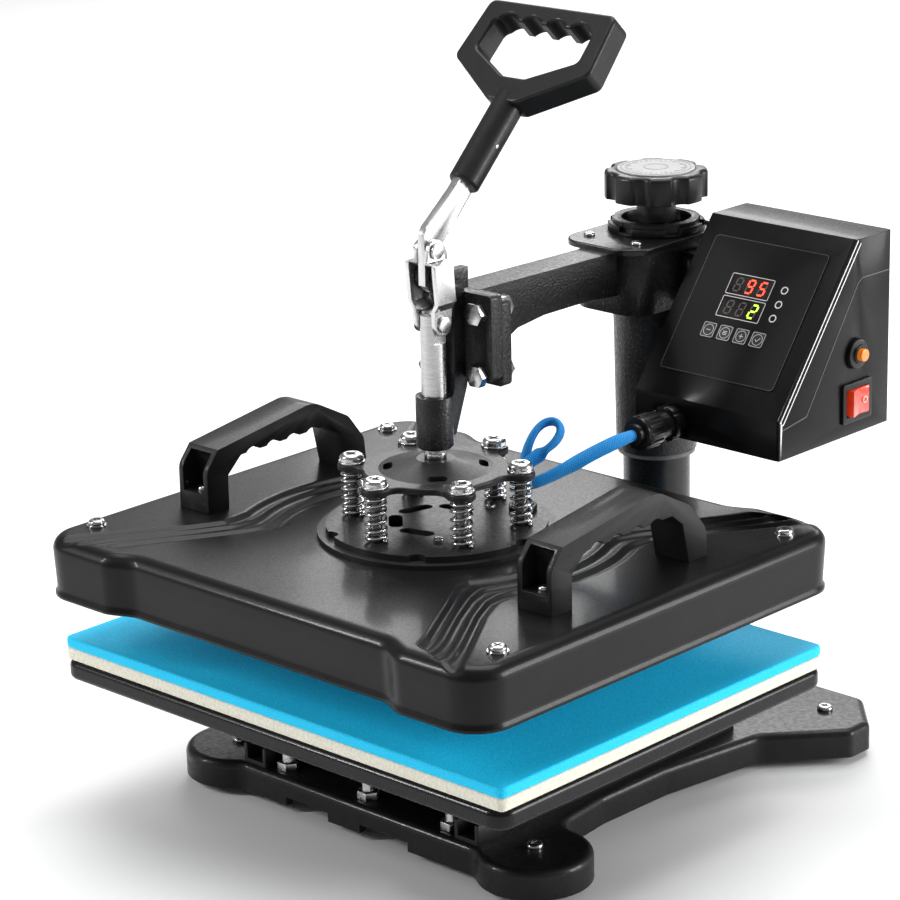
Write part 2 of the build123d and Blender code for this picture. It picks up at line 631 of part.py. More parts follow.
def inner_plate():
    """Steel plate under the cover that the spring bolts screw into."""
    body = box(-80, 80, HEAD_Y - 80, HEAD_Y + 80, COVER_TOP - SHEET - 5, COVER_TOP - SHEET)
    for x, y in SPRING_PLACES:
        body -= cyl(BOLT_R, COVER_TOP - 12, COVER_TOP, x, y)
    return body - cyl(7, COVER_TOP - 12, COVER_TOP, *GLAND)


def posts():
    """Spacers that hang the platen from the cover."""
    post = tube(6, 2.1, PLATEN_TOP, COVER_TOP - SHEET)
    return [Pos(x, y, 0) * post for x, y in COVER_SCREWS]


def cover_screws():
    screw = pan_screw(5.4, 3.4, 2.0, 16)
    washer = cyl(6.5, 0, 1.0) - cyl(2.1, -1, 2)
    screws = [Pos(x, y, COVER_TOP + 1.0) * screw for x, y in COVER_SCREWS]
    return screws + [Pos(x, y, COVER_TOP) * washer for x, y in COVER_SCREWS]


def element_path(z, depth, width):
    outer = RectangleRounded(300 + width, 220 + width, 40)
    inner = RectangleRounded(300 - width, 220 - width, 32)
    return Pos(0, HEAD_Y, z - depth) * extrude(outer - inner, depth)


def heating_element():
    return element_path(PLATEN_TOP - 0.4, 7, 8)


def heated_platen():
    body = Pos(0, HEAD_Y, PLATEN_BOTTOM) * extrude(RectangleRounded(2 * PLATEN_X, 2 * PLATEN_Y, 10),
                                                  PLATEN_TOP - PLATEN_BOTTOM)
    body = chamfer(top_edges(body, PLATEN_BOTTOM), 1)
    return body - element_path(PLATEN_TOP + 1, 8.5, 8.4)


def insulation():
    body = box(-176, 176, HEAD_Y - 142, HEAD_Y + 142, PLATEN_TOP + 0.3, 174)
    for x, y in COVER_SCREWS:
        body -= cyl(9, PLATEN_TOP - 1, 175, x, y)
    body -= box(-32, 32, HEAD_Y - 22, HEAD_Y + 22, PLATEN_TOP - 1, 175)
    return body - cyl(7, PLATEN_TOP - 1, 175, *GLAND)


def thermostat():
    body = box(-12, 12, HEAD_Y - 9, HEAD_Y + 9, PLATEN_TOP, PLATEN_TOP + 3)
    body += cyl(8, PLATEN_TOP + 3, PLATEN_TOP + 11, 0, HEAD_Y)
    for sx in (-1, 1):
        body += box(sx * 5 - 3, sx * 5 + 3, HEAD_Y - 0.4, HEAD_Y + 0.4, PLATEN_TOP + 11, PLATEN_TOP + 16)
    return body


def cable_gland():
    flange_top = UPPER_DISC_TOP + 4
    body = cyl(6.9, COVER_TOP - 6, UPPER_DISC_TOP, *GLAND) + cyl(9, UPPER_DISC_TOP, flange_top, *GLAND)
    return body + cyl(7, flange_top, flange_top + 1, *GLAND)


# ---- side grips ----
GRIP_X0, GRIP_X1 = 133.0, 160.0


def grip_screw_places():
    return [(sx * (GRIP_X0 + GRIP_X1) / 2, HEAD_Y + sy * 63.0) for sx in (-1, 1) for sy in (-1, 1)]


def grip_profile():
    """Side view (y, z) of a grip on the cover: a long bar rising to the back, finger bumps below."""
    y, z = HEAD_Y, COVER_TOP
    outer = make_face(Polyline((y - 72, z), (y - 72, z + 29), (y - 62, z + 41), (y + 24, z + 53),
                               (y + 56, z + 36), (y + 70, z + 18), (y + 72, z), close=True))
    outer = fillet(outer.vertices().sort_by(Axis.Y)[2:5], 10)
    inner = make_face(Polyline((y - 54, z - 5), (y - 54, z + 22), (y - 42, z + 33), (y + 38, z + 34),
                               (y + 48, z + 26), (y + 55, z - 5), close=True))
    for k in range(4):
        inner += Pos(y - 31 + 18 * k, z + 28) * Circle(8)
    return outer - rounded(inner, convex=3)


def side_grip():
    """Hollow-ended grip, right side, with a screw pocket at each foot."""
    body = Pos(GRIP_X0, 0, 0) * extrude(Plane.YZ * grip_profile(), GRIP_X1 - GRIP_X0, dir=(1, 0, 0))
    y, z = HEAD_Y, COVER_TOP
    front = side_plate([(y - 80, z + 12), (y - 80, z + 50), (y - 62, z + 37), (y - 58, z + 30),
                        (y - 57, z + 12)], GRIP_X0 + 4, GRIP_X1 - 4)
    back = side_plate([(y + 80, z + 12), (y + 80, z + 22), (y + 60, z + 22), (y + 57.5, z + 12)],
                      GRIP_X0 + 4, GRIP_X1 - 4)
    body = body - front - back
    for x, yy in grip_screw_places():
        body -= cyl(2.6, z - 1, z + 13, x, yy)
    return body


def grip_screws():
    screw = pan_screw(4.2, 3, 2.5, 18)
    return [Pos(x, y, COVER_TOP + 12) * screw for x, y in grip_screw_places()]


# ---- control box ----
def box_profile(inset=0.0):
    points = [(BOX_FRONT, BOX_BOTTOM), (BOX_FRONT, BOX_STEP), (BOX_BEND, BOX_TOP), (BOX_BACK, BOX_TOP),
              (BOX_BACK, BOX_BOTTOM)]
    face = make_face(Polyline(*points, close=True))
    return offset(face, -inset, kind=Kind.INTERSECTION) if inset else face


def profile_block(inset, x0, x1):
    return Pos(x0, 0, 0) * extrude(Plane.YZ * box_profile(inset), x1 - x0, dir=(1, 0, 0))


def slope_place(x, s, lift=0.0):
    """Location on the sloped panel: x across, s up the slope, z out of it."""
    run, rise = BOX_BEND - BOX_FRONT, BOX_TOP - BOX_STEP
    length = hypot(run, rise)
    uy, uz = run / length, rise / length
    origin = (x, BOX_FRONT + s * uy - lift * uz, BOX_STEP + s * uz + lift * uy)
    return Plane(origin=origin, x_dir=(1, 0, 0), z_dir=(0, -uz, uy))


DISPLAYS = ((101.5, 82.5), (101.5, 66.5))
DISPLAY_W, DISPLAY_H = 32.0, 12.6
LED_PLACES = ((128.0, 84.5), (128.0, 74.5), (128.0, 64.7))
KEY_PLACES = tuple((84.3 + 13.1 * k, 48.8) for k in range(4))
KEY_W = 10.6
PANEL_X, PANEL_S, PANEL_W, PANEL_H = 104.7, 65.6, 91.5, 96.0
BOX_BRACKET_Z = (300.0, 322.0)
ROCKER = (165.0, 250.3)    # (y, z) centres on the right side
ROCKER_TILT = 7.0          # degrees to each side of the middle
BREAKER = (164.4, 281.6)
INLET = (106.0, 262.0)     # (x, z) on the back


def panel_cuts(depth_out, depth_in, margin):
    """Solids that open the windows, lamps and keys through a layer of the slope."""
    cuts = []
    span = depth_out + depth_in
    for x, s in DISPLAYS:
        window = Rectangle(DISPLAY_W + margin, DISPLAY_H + margin)
        cuts.append(slope_place(x, s, -depth_in) * extrude(window, span))
    for x, s in KEY_PLACES:
        cuts.append(slope_place(x, s, -depth_in) * extrude(Rectangle(KEY_W + margin, KEY_W + margin), span))
    for x, s in LED_PLACES:
        cuts.append(slope_place(x, s, -depth_in) * extrude(Circle(1.5 + margin / 2), span))
    return cuts


def control_case():
    """Folded case: front, slope, top, back and bottom with the left side closed."""
    case = profile_block(0, BOX_X0, BOX_X1 - 2) - profile_block(BOX_SHEET, BOX_X0 + BOX_SHEET, BOX_X1)
    for cut in panel_cuts(3, 3, 0.8):
        case -= cut
    case -= rod_y(8.1, BOX_FRONT - 2, BOX_FRONT + 3, *CONNECTOR)
    x, z = INLET
    case -= box(x - 14, x + 14, BOX_BACK - 3, BOX_BACK + 1, z - 10.5, z + 10.5)
    for z in BOX_BRACKET_Z:
        case -= rod_x(3.1, BOX_X0 - 1, BOX_X0 + 3, COLUMN_Y, z)
    return case


def side_cover():
    """Right side cover with the raised field along the slope."""
    cover = profile_block(0, BOX_X1 - 2, BOX_X1)
    y, z = ROCKER
    cover -= box(BOX_X1 - 5, BOX_X1 + 1, y - 13.5, y + 13.5, z - 11, z + 11)
    return cover - rod_x(6.1, BOX_X1 - 5, BOX_X1 + 1, *BREAKER)


def front_panel():
    """Thin keypad overlay stuck on the slope."""
    sheet = slope_place(PANEL_X, PANEL_S, 0) * extrude(RectangleRounded(PANEL_W, PANEL_H, 3), 0.6)
    for cut in panel_cuts(3, 1, 0.6):
        sheet -= cut
    return sheet


def windows():
    return [slope_place(x, s, -1.2) * extrude(Rectangle(DISPLAY_W, DISPLAY_H), 1.6) for x, s in DISPLAYS]


def lamps():
    return [slope_place(x, s, -1.4) * extrude(Circle(1.4), 2.1) for x, s in LED_PLACES]


def key(index):
    x, s = KEY_PLACES[index]
    cap = extrude(RectangleRounded(KEY_W, KEY_W, 1.2), 2.4)
    return slope_place(x, s, -1.6) * cap


def control_board():
    """Display and keypad board behind the slope, on four stand-offs."""
    board = slope_place(PANEL_X, PANEL_S, -7.5) * extrude(Rectangle(88, 88), 1.6)
    posts_xy = [(sx * 40, ss * 40) for sx in (-1, 1) for ss in (-1, 1)]
    for dx, ds in posts_xy:
        board += slope_place(PANEL_X + dx, PANEL_S + ds, -5.9) * extrude(Circle(2.5), 5.9 - BOX_SHEET)
    return board


def relay_module():
    body = box(108, 144, 120, 168, BOX_BOTTOM + BOX_SHEET, BOX_BOTTOM + 21)
    for y in (128, 144, 160):
        body += cyl(3, BOX_BOTTOM + 21, BOX_BOTTOM + 24, 138, y)
    return body


def transformer():
    core = box(66, 100, 118, 158, BOX_BOTTOM + BOX_SHEET, BOX_BOTTOM + 30)
    coil = fillet(box(60, 106, 126, 150, BOX_BOTTOM + 6, BOX_BOTTOM + 26).edges().filter_by(Axis.Z), 3)
    return core + coil


def power_inlet():
    x, z = INLET
    y = BOX_BACK
    body = box(x - 13.9, x + 13.9, y - 24, y, z - 10.4, z + 10.4)
    body += fillet(box(x - 24, x + 24, y, y + 3, z - 13, z + 13).edges().filter_by(Axis.Y), 3)
    body -= box(x - 12, x + 12, y - 20, y + 4, z - 8, z + 8)
    for dx, dz in ((-7, -1.5), (0, 2), (7, -1.5)):
        body += box(x + dx - 1, x + dx + 1, y - 21, y - 8, z + dz - 2.5, z + dz + 2.5)
    return body


def rocker_housing():
    """Switch body with its bezel and the upright pin that the rocker tips on."""
    y, z = ROCKER
    x = BOX_X1
    body = box(x - 16, x, y - 13.4, y + 13.4, z - 10.9, z + 10.9)
    body += fillet(box(x, x + 2, y - 15, y + 15, z - 13, z + 13).edges().filter_by(Axis.X), 1.5)
    body -= box(x - 12, x + 3, y - 11.5, y + 11.5, z - 9, z + 9)
    return body + cyl(1.5, z - 10, z + 10, x - 2.5, y)


def rocker():
    """Rocker cap that tips about an upright pin."""
    y, z = ROCKER
    x = BOX_X1
    points = [(x - 5, y - 8.5), (x + 2.8, y - 9.8), (x + 4.4, y - 9.4), (x + 2.6, y), (x + 4.4, y + 9.4),
              (x + 2.8, y + 9.8), (x - 5, y + 8.5)]
    cap = plate(make_face(Polyline(*points, close=True)), z - 8.6, z + 8.6)
    cap -= cyl(1.5 + RUN, z - 10, z + 10, x - 2.5, y)
    return cap.rotate(Axis((x - 2.5, y, 0), (0, 0, 1)), ROCKER_TILT)


def breaker_body():
    """Resettable circuit breaker with its ring nut."""
    y, z = BREAKER
    x = BOX_X1
    body = rod_x(6, x - 10, x + 4.5, y, z) + rod_x(9.6, x, x + 3, y, z)
    body += box(x - 32, x - 10, y - 7, y + 7, z - 14, z + 14)
    return body - rod_x(4.2, x - 8, x + 8, y, z)


def breaker_button():
    y, z = BREAKER
    return fillet(along_x_edges(rod_x(4.1, BOX_X1 - 6.5, BOX_X1 + 8, y, z), BOX_X1 + 8), 0.8)


def box_bracket():
    """Stand-off plate between the sleeve and the control box."""
    body = box(30.05, BOX_X0, COLUMN_Y - 9, COLUMN_Y + 9, 294, 328)
    body -= box(34, BOX_X0 - 3, COLUMN_Y - 10, COLUMN_Y + 10, 298, 324)
    for z in BOX_BRACKET_Z:
        body -= rod_x(3.1, 20, BOX_X0 + 1, COLUMN_Y, z)
    return body


def box_bolts():
    inside = BOX_X0 + BOX_SHEET
    return [rod_x(3.0, 25, inside, COLUMN_Y, z) + rod_x(5.5, inside, inside + 4.5, COLUMN_Y, z)
            for z in BOX_BRACKET_Z]


def heater_connector():
    """Ribbed circular connector on the box front, mouth towards the operator."""
    x, z = CONNECTOR
    y = BOX_FRONT
    body = rod_y(8, y - 3, y + 8, x, z) + rod_y(11.5, y - 7, y, x, z)
    body += rod_y(8.5, y - 17, y - 7, x, z) + rod_y(10.5, y - 34, y - 17, x, z)
    body = body + rod_y(7, y - 38, y - 34, x, z)
    for k in range(12):
        angle = 2 * pi * k / 12
        body += rod_y(1.2, y - 32, y - 19, x + 10.2 * cos(angle), z + 10.2 * sin(angle))
    for k in range(8):
        angle = 2 * pi * k / 8
        body -= rod_y(1.6, y - 8, y - 0.5, x + 11.8 * cos(angle), z + 11.8 * sin(angle))
    return body


# ---- heater lead ----
LEAD = [(77.9, 48.6, 238.0), (77.9, 40.0, 238.0), (74.5, 31.0, 235.6), (67.0, 19.5, 230.0),
        (59.0, 8.0, 223.0), (51.5, -2.0, 217.5), (44.5, -9.0, 213.5), (36.5, -12.0, 212.5),
        (30.5, -7.5, 216.0), (31.0, 0.5, 221.5), (36.0, 9.0, 227.5), (41.5, 16.5, 234.0),
        (42.0, 22.0, 241.0), (35.5, 23.5, 245.5), (29.0, 18.0, 244.0), (26.5, 10.0, 236.5),
        (26.5, 2.5, 222.0), (28.5, -1.0, 207.5), (28.5, -1.0, 195.8)]


def turn_radii(points):
    """Largest arc radius at each corner of a route."""
    radii = []
    for a, b, c in zip(points, points[1:], points[2:]):
        before, after = Vector(*b) - Vector(*a), Vector(*c) - Vector(*b)
        half = radians(before.get_angle(after)) / 2
        radii.append(0.45 * min(before.length, after.length) / tan(half))
    return radii


def heater_lead():
    radii = turn_radii(LEAD)
    path = FilletPolyline(*LEAD, radius=radii)
    section = Plane(origin=path @ 0, z_dir=path % 0) * Circle(CABLE_D / 2)
    lead = sweep(section, path=path)
    print("lead radii", [round(r, 1) for r in radii], "length", round(path.length, 1),
          "volume ratio", round(lead.volume / (path.length * pi * CABLE_D ** 2 / 4), 4))
    return lead


# ---- nodes that hold a group of pieces ----
def base_fasteners():
    return group(foot_screws() + rail_screws() + column_bolts())


def arm_fasteners():
    return group(bracket_bolts() + top_plate_screws() + box_bolts())


def lever_pins():
    return group([upper_link_pin(), grip_pin()])


def yoke_cheeks():
    return group([yoke_right(), mirrored(yoke_right())])


def head_mounts():
    return group([inner_plate()] + posts())


def head_screws():
    return group(cover_screws() + grip_screws() + disc_screws())


def side_grips():
    return group([side_grip(), mirrored(side_grip())])


def display_windows():
    return group(windows() + lamps())


def control_electronics():
    return group([control_board(), relay_module(), transformer()])


# ---- the model ----
NODES = [
    base_frame, rubber_feet, base_fasteners, base_rails, cross_channels, levelling_studs,
    lower_tray, foam_layer, silicone_pad, column_tube, column_nut,
    column_bushes, thrust_collar, pressure_screw, pressure_knob, knob_cap,
    arm_casting, arm_top_plate, lock_ring, toggle_bracket, fork_pin, arm_fasteners,
    lever_bar, lever_pins, lever_grip, yoke_cheeks, yoke_stub_pins,
    plunger_rod, plunger_nuts, star_plate,
    head_cover, lower_disc, upper_disc, spring_bolts, coil_springs, head_mounts, head_screws,
    heated_platen, heating_element, insulation, thermostat, cable_gland, side_grips,
    control_case, side_cover, front_panel, display_windows, control_electronics, power_inlet,
    rocker_housing, rocker, breaker_body, breaker_button, box_bracket,
    heater_connector, heater_lead,
]


def main():
    os.makedirs("parts", exist_ok=True)
    made = {make.__name__: make() for make in NODES}
    for index, name in enumerate(("key_minus", "key_mode", "key_plus", "key_set")):
        made[name] = key(index)
    for name, solid in made.items():
        export_step(solid, os.path.join("parts", name + ".step"))


main()
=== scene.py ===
import json
from math import cos, hypot, pi, radians, sin

import bmesh
import bpy
import numpy as np
from mathutils import Matrix, Vector


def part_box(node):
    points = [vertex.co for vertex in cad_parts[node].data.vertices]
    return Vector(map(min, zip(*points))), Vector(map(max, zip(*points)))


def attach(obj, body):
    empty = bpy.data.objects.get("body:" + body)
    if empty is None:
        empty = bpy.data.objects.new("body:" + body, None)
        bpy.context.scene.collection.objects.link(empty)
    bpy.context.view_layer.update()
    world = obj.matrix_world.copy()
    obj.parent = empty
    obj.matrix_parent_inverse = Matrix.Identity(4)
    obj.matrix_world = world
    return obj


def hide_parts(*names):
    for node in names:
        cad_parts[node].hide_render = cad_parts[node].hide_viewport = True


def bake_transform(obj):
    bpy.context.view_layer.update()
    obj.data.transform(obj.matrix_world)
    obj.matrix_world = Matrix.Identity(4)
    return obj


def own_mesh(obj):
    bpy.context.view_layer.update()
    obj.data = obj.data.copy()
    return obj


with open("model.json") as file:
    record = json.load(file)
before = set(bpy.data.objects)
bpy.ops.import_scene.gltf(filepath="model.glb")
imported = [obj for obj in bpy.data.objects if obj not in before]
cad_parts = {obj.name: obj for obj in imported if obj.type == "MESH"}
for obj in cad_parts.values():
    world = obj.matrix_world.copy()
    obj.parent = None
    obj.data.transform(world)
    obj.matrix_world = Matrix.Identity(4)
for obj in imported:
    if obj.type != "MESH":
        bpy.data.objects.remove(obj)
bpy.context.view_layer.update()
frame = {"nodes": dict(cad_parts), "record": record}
NODES = frame["nodes"]
SUBPARTS = {row["node"]: row["material_slot"] for row in frame["record"]["subparts"]}
BODY_OF = {node: body for body, nodes in frame["record"]["behaviour"]["bodies"].items() for node in nodes}
MM = 0.001

# ---- places, worked out from the frame ----
PAD_LOW, PAD_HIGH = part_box("silicone_pad")
COVER_LOW, COVER_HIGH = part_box("head_cover")
DISC_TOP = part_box("upper_disc")[1].z
STAR_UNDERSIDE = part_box("star_plate")[0].z
CASE_LOW, CASE_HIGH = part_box("control_case")
SIDE_LOW, SIDE_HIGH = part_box("side_cover")
CAP_LOW, CAP_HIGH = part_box("knob_cap")
HEAD_AXIS = Vector(((PAD_LOW.x + PAD_HIGH.x) / 2, (PAD_LOW.y + PAD_HIGH.y) / 2, 0))

# The slope of the control box, from its front bend up to its top bend.
FRONT_BEND_Z, TOP_BEND_Y = 0.2546, 0.1642
SLOPE_FRONT = Vector((0, CASE_LOW.y, FRONT_BEND_Z))
SLOPE_BACK = Vector((0, TOP_BEND_Y, CASE_HIGH.z))
SLOPE_UP = (SLOPE_BACK - SLOPE_FRONT).normalized()
SLOPE_OUT = Vector((0, -SLOPE_UP.z, SLOPE_UP.y))

# Route of the heater lead in millimetres, from the connector to the gland.
LEAD = [(77.9, 48.6, 238.0), (77.9, 40.0, 238.0), (74.5, 31.0, 235.6), (67.0, 19.5, 230.0),
        (59.0, 8.0, 223.0), (51.5, -2.0, 217.5), (44.5, -9.0, 213.5), (36.5, -12.0, 212.5),
        (30.5, -7.5, 216.0), (31.0, 0.5, 221.5), (36.0, 9.0, 227.5), (41.5, 16.5, 234.0),
        (42.0, 22.0, 241.0), (35.5, 23.5, 245.5), (29.0, 18.0, 244.0), (26.5, 10.0, 236.5),
        (26.5, 2.5, 222.0), (28.5, -1.0, 207.5), (28.5, -1.0, 195.8)]
LEAD_WIDTH, LEAD_THICKNESS = 0.0092, 0.0052


# ---- camera, light and floor ----
CAMERA_TARGET, CAMERA_DISTANCE = Vector((0.01065, -0.048, 0.23847)), 2.0817
CAMERA_AZIMUTH, CAMERA_ELEVATION, CAMERA_ROLL = radians(43.56), radians(17.6), radians(-1.24)
CAMERA_LENS, CAMERA_SENSOR, CAMERA_REACH = 133.8, 36.0, 50


def add_camera():
    level = cos(CAMERA_ELEVATION)
    back = Vector((sin(CAMERA_AZIMUTH) * level, -cos(CAMERA_AZIMUTH) * level, sin(CAMERA_ELEVATION)))
    camera = bpy.data.objects.new("camera", bpy.data.cameras.new("camera"))
    camera.data.lens, camera.data.sensor_width = CAMERA_LENS, CAMERA_SENSOR
    camera.data.clip_end = CAMERA_REACH
    camera.location = CAMERA_TARGET + back * CAMERA_DISTANCE
    turn = back.to_track_quat("Z", "Y").to_matrix().to_4x4()
    spin = turn @ Matrix.Rotation(CAMERA_ROLL, 4, "Z")
    camera.rotation_euler = spin.to_euler()
    bpy.context.scene.collection.objects.link(camera)
    bpy.context.scene.camera = camera


def add_area_light(name, place, aim, size, power):
    """A white rectangular light that the camera doesn't see."""
    light = bpy.data.lights.new(name, "AREA")
    light.shape, light.size, light.size_y = "RECTANGLE", size[0], size[1]
    light.energy = power
    lamp = bpy.data.objects.new(name, light)
    lamp.location = place
    lamp.rotation_euler = (Vector(place) - Vector(aim)).to_track_quat("Z", "Y").to_euler()
    lamp.visible_camera = False
    bpy.context.scene.collection.objects.link(lamp)


WORLD_STRENGTH, FLOOR_SIZE = 0.24, 60


def add_lights():
    middle = (0, 0, 0.2)
    add_area_light("overhead", (-0.3, 0.5, 2.6), middle, (2.4, 1.6), 66)
    add_area_light("right_side", (2.2, 1.5, 0.8), middle, (1.3, 1.1), 62)
    add_area_light("left_front", (-1.8, -2.0, 1.6), middle, (0.12, 1.3), 44)
    add_area_light("rear_strip", (-1.2, 2.4, 1.3), middle, (2.2, 0.5), 22)
    add_area_light("far_floor", (-2.2, 2.4, 2.2), (-2.0, 2.2, 0), (1.6, 1.6), 30)
    bpy.context.scene.view_settings.view_transform = "Standard"
    world = bpy.data.worlds.new("studio")
    world.use_nodes = True
    background = world.node_tree.nodes["Background"]
    background.inputs["Color"].default_value = (1, 1, 1, 1)
    background.inputs["Strength"].default_value = WORLD_STRENGTH
    bpy.context.scene.world = world


def add_floor():
    bpy.ops.mesh.primitive_plane_add(size=FLOOR_SIZE, location=(0, 0, 0))
    floor = bpy.context.object
    floor.name = "floor"
    look = Finish("floor_white", roughness=0.7)
    look.tint(look.noise(3.0), [(0.0, grey(0.86)), (1.0, grey(0.9))])
    floor.data.materials.append(look.material)


# ---- materials ----
class Finish:
    """A procedural material, with the few node chains that they all share."""

    def __init__(self, name, roughness=0.5, metallic=0.0, coat=0.0, specular=0.5):
        self.material = bpy.data.materials.new(name)
        self.material.use_nodes = True
        self.tree = self.material.node_tree
        self.bsdf = self.tree.nodes["Principled BSDF"]
        self.normal = None
        for socket, value in (("Roughness", roughness), ("Metallic", metallic), ("Coat Weight", coat),
                              ("Coat Roughness", 0.12), ("Specular IOR Level", specular)):
            self.bsdf.inputs[socket].default_value = value
        self.place = self.add("ShaderNodeTexCoord").outputs["Object"]

    def add(self, kind, **values):
        """Adds a node. Each value sets a socket of that name, or else a property."""
        node = self.tree.nodes.new(kind)
        for key, value in values.items():
            if key in node.inputs:
                node.inputs[key].default_value = value
            else:
                setattr(node, key, value)
        return node

    def link(self, output, socket):
        self.tree.links.new(output, socket)

    def noise(self, scale, detail=3.0, stretch=None):
        """Noise in object space, which stretch scales along each axis."""
        node = self.add("ShaderNodeTexNoise", Scale=scale, Detail=detail)
        source = self.place
        if stretch:
            mapping = self.add("ShaderNodeMapping", Scale=stretch)
            self.link(source, mapping.inputs["Vector"])
            source = mapping.outputs["Vector"]
        self.link(source, node.inputs["Vector"])
        return node.outputs["Fac"]

    def cells(self, scale, output="Distance"):
        """Voronoi cells in object space."""
        node = self.add("ShaderNodeTexVoronoi", Scale=scale)
        self.link(self.place, node.inputs["Vector"])
        return node.outputs[output]

    def ramp(self, source, stops):
        """Colours along a value, from (place, colour) stops."""
        node = self.add("ShaderNodeValToRGB")
        for element, (place, colour) in zip(node.color_ramp.elements, (stops[0], stops[-1])):
            element.position, element.color = place, (*colour, 1)
        for place, colour in stops[1:-1]:
            node.color_ramp.elements.new(place).color = (*colour, 1)
        self.link(source, node.inputs["Fac"])
        return node.outputs["Color"]

    def tint(self, source, stops):
        """Sets the base colour from stops along a value."""
        self.link(self.ramp(source, stops), self.bsdf.inputs["Base Color"])

    def spread(self, source, low, high, start=0.35, end=0.65):
        """Maps start..end of a value to low..high."""
        node = self.add("ShaderNodeMapRange")
        for socket, value in zip(("From Min", "From Max", "To Min", "To Max"), (start, end, low, high)):
            node.inputs[socket].default_value = value
        self.link(source, node.inputs["Value"])
        return node.outputs["Result"]

    def rough(self, source, low, high):
        """Varies the roughness from low to high."""
        self.link(self.spread(source, low, high), self.bsdf.inputs["Roughness"])

    def bump(self, source, strength, distance):
        """Adds a bump on top of any that came before."""
        node = self.add("ShaderNodeBump", Strength=strength, Distance=distance)
        self.link(source, node.inputs["Height"])
        if self.normal:
            self.link(self.normal, node.inputs["Normal"])
        self.normal = node.outputs["Normal"]
        self.link(self.normal, self.bsdf.inputs["Normal"])

    def worn_edges(self, colour, radius=0.0012, amount=0.5):
        """Mixes a colour into the base colour along the edges."""
        bevel = self.add("ShaderNodeBevel", samples=4, Radius=radius)
        geometry = self.add("ShaderNodeNewGeometry")
        dot = self.add("ShaderNodeVectorMath", operation="DOT_PRODUCT")
        self.link(bevel.outputs["Normal"], dot.inputs[0])
        self.link(geometry.outputs["Normal"], dot.inputs[1])
        edge = self.spread(dot.outputs["Value"], amount, 0.0, 0.75, 0.985)
        patchy = self.add("ShaderNodeMath", operation="MULTIPLY")
        self.link(edge, patchy.inputs[0])
        self.link(self.spread(self.noise(160, 4), 0.15, 1.0, 0.4, 0.6), patchy.inputs[1])
        mix = self.add("ShaderNodeMix", data_type="RGBA")
        base = self.bsdf.inputs["Base Color"].links[0].from_socket
        self.link(patchy.outputs["Value"], mix.inputs["Factor"])
        self.link(base, mix.inputs[6])
        mix.inputs[7].default_value = (*colour, 1)
        self.link(mix.outputs[2], self.bsdf.inputs["Base Color"])


def grey(value):
    return (value, value, value)


def base_paint():
    look = Finish("base_paint", coat=0.15, specular=0.22)
    look.tint(look.noise(40), [(0.3, grey(0.005)), (0.7, grey(0.010))])
    look.rough(look.noise(300, 5), 0.34, 0.52)
    look.bump(look.noise(420, 4), 0.35, 0.0006)
    look.worn_edges(grey(0.07))
    return look.material


def cover_paint():
    look = Finish("cover_paint", coat=0.14, specular=0.14)
    look.tint(look.noise(22, 4), [(0.3, grey(0.0035)), (0.7, grey(0.007))])
    look.rough(look.noise(900, 4), 0.30, 0.46)
    look.bump(look.noise(1300, 3), 0.30, 0.0003)
    look.bump(look.noise(30, 2), 0.10, 0.0010)
    look.worn_edges(grey(0.05), 0.0015, 0.35)
    return look.material


def arm_paint():
    look = Finish("arm_paint", coat=0.15, specular=0.4)
    fleck = look.cells(900, "Color")
    look.tint(fleck, [(0.0, grey(0.004)), (0.78, grey(0.008)), (0.92, grey(0.03)), (1.0, grey(0.10))])
    look.rough(look.noise(500, 5), 0.28, 0.55)
    look.bump(look.noise(650, 4), 0.75, 0.0008)
    return look.material


def column_paint():
    look = Finish("column_paint", coat=0.2, specular=0.3)
    look.tint(look.noise(35, 4), [(0.3, grey(0.004)), (0.7, grey(0.008))])
    look.rough(look.noise(700, 4), 0.26, 0.42)
    look.bump(look.noise(900, 4), 0.25, 0.0003)
    return look.material


def tray_paint():
    look = Finish("tray_paint", coat=0.2, specular=0.15)
    look.tint(look.noise(30, 4), [(0.3, grey(0.003)), (0.7, grey(0.006))])
    look.rough(look.noise(600, 4), 0.24, 0.38)
    look.bump(look.noise(1000, 3), 0.12, 0.0002)
    look.worn_edges(grey(0.02))
    return look.material


def box_paint():
    look = Finish("box_paint", coat=0.12, specular=0.13)
    look.tint(look.noise(25, 3), [(0.3, grey(0.003)), (0.7, grey(0.006))])
    look.rough(look.noise(800, 4), 0.30, 0.44)
    look.bump(look.noise(1500, 3), 0.16, 0.0002)
    return look.material


# Polished, brushed or plated metal, from dark and light greys and a range of roughness.
def plated(name, low, high, rough_low, rough_high, scale=260, stretch=None):
    look = Finish(name, metallic=1.0)
    look.tint(look.noise(scale, 4, stretch), [(0.3, grey(low)), (0.7, grey(high))])
    look.rough(look.noise(scale * 1.7, 4, stretch), rough_low, rough_high)
    look.bump(look.noise(scale * 2.5, 2, stretch), 0.015, 0.0001)
    return look.material


def bolt_chrome():
    return plated("bolt_chrome", 0.52, 0.60, 0.20, 0.26)


def link_chrome():
    return plated("link_chrome", 0.66, 0.70, 0.26, 0.30, 60)


def rod_steel():
    return plated("rod_steel", 0.48, 0.58, 0.22, 0.32, 90, (1, 1, 14))


def spring_steel():
    return plated("spring_steel", 0.62, 0.70, 0.14, 0.20, 300)


def black_steel():
    look = Finish("black_steel", coat=0.05, specular=0.3)
    look.tint(look.noise(60, 4), [(0.3, grey(0.009)), (0.7, grey(0.018))])
    look.rough(look.noise(500, 4), 0.36, 0.50)
    look.bump(look.noise(900, 3), 0.06, 0.0002)
    return look.material


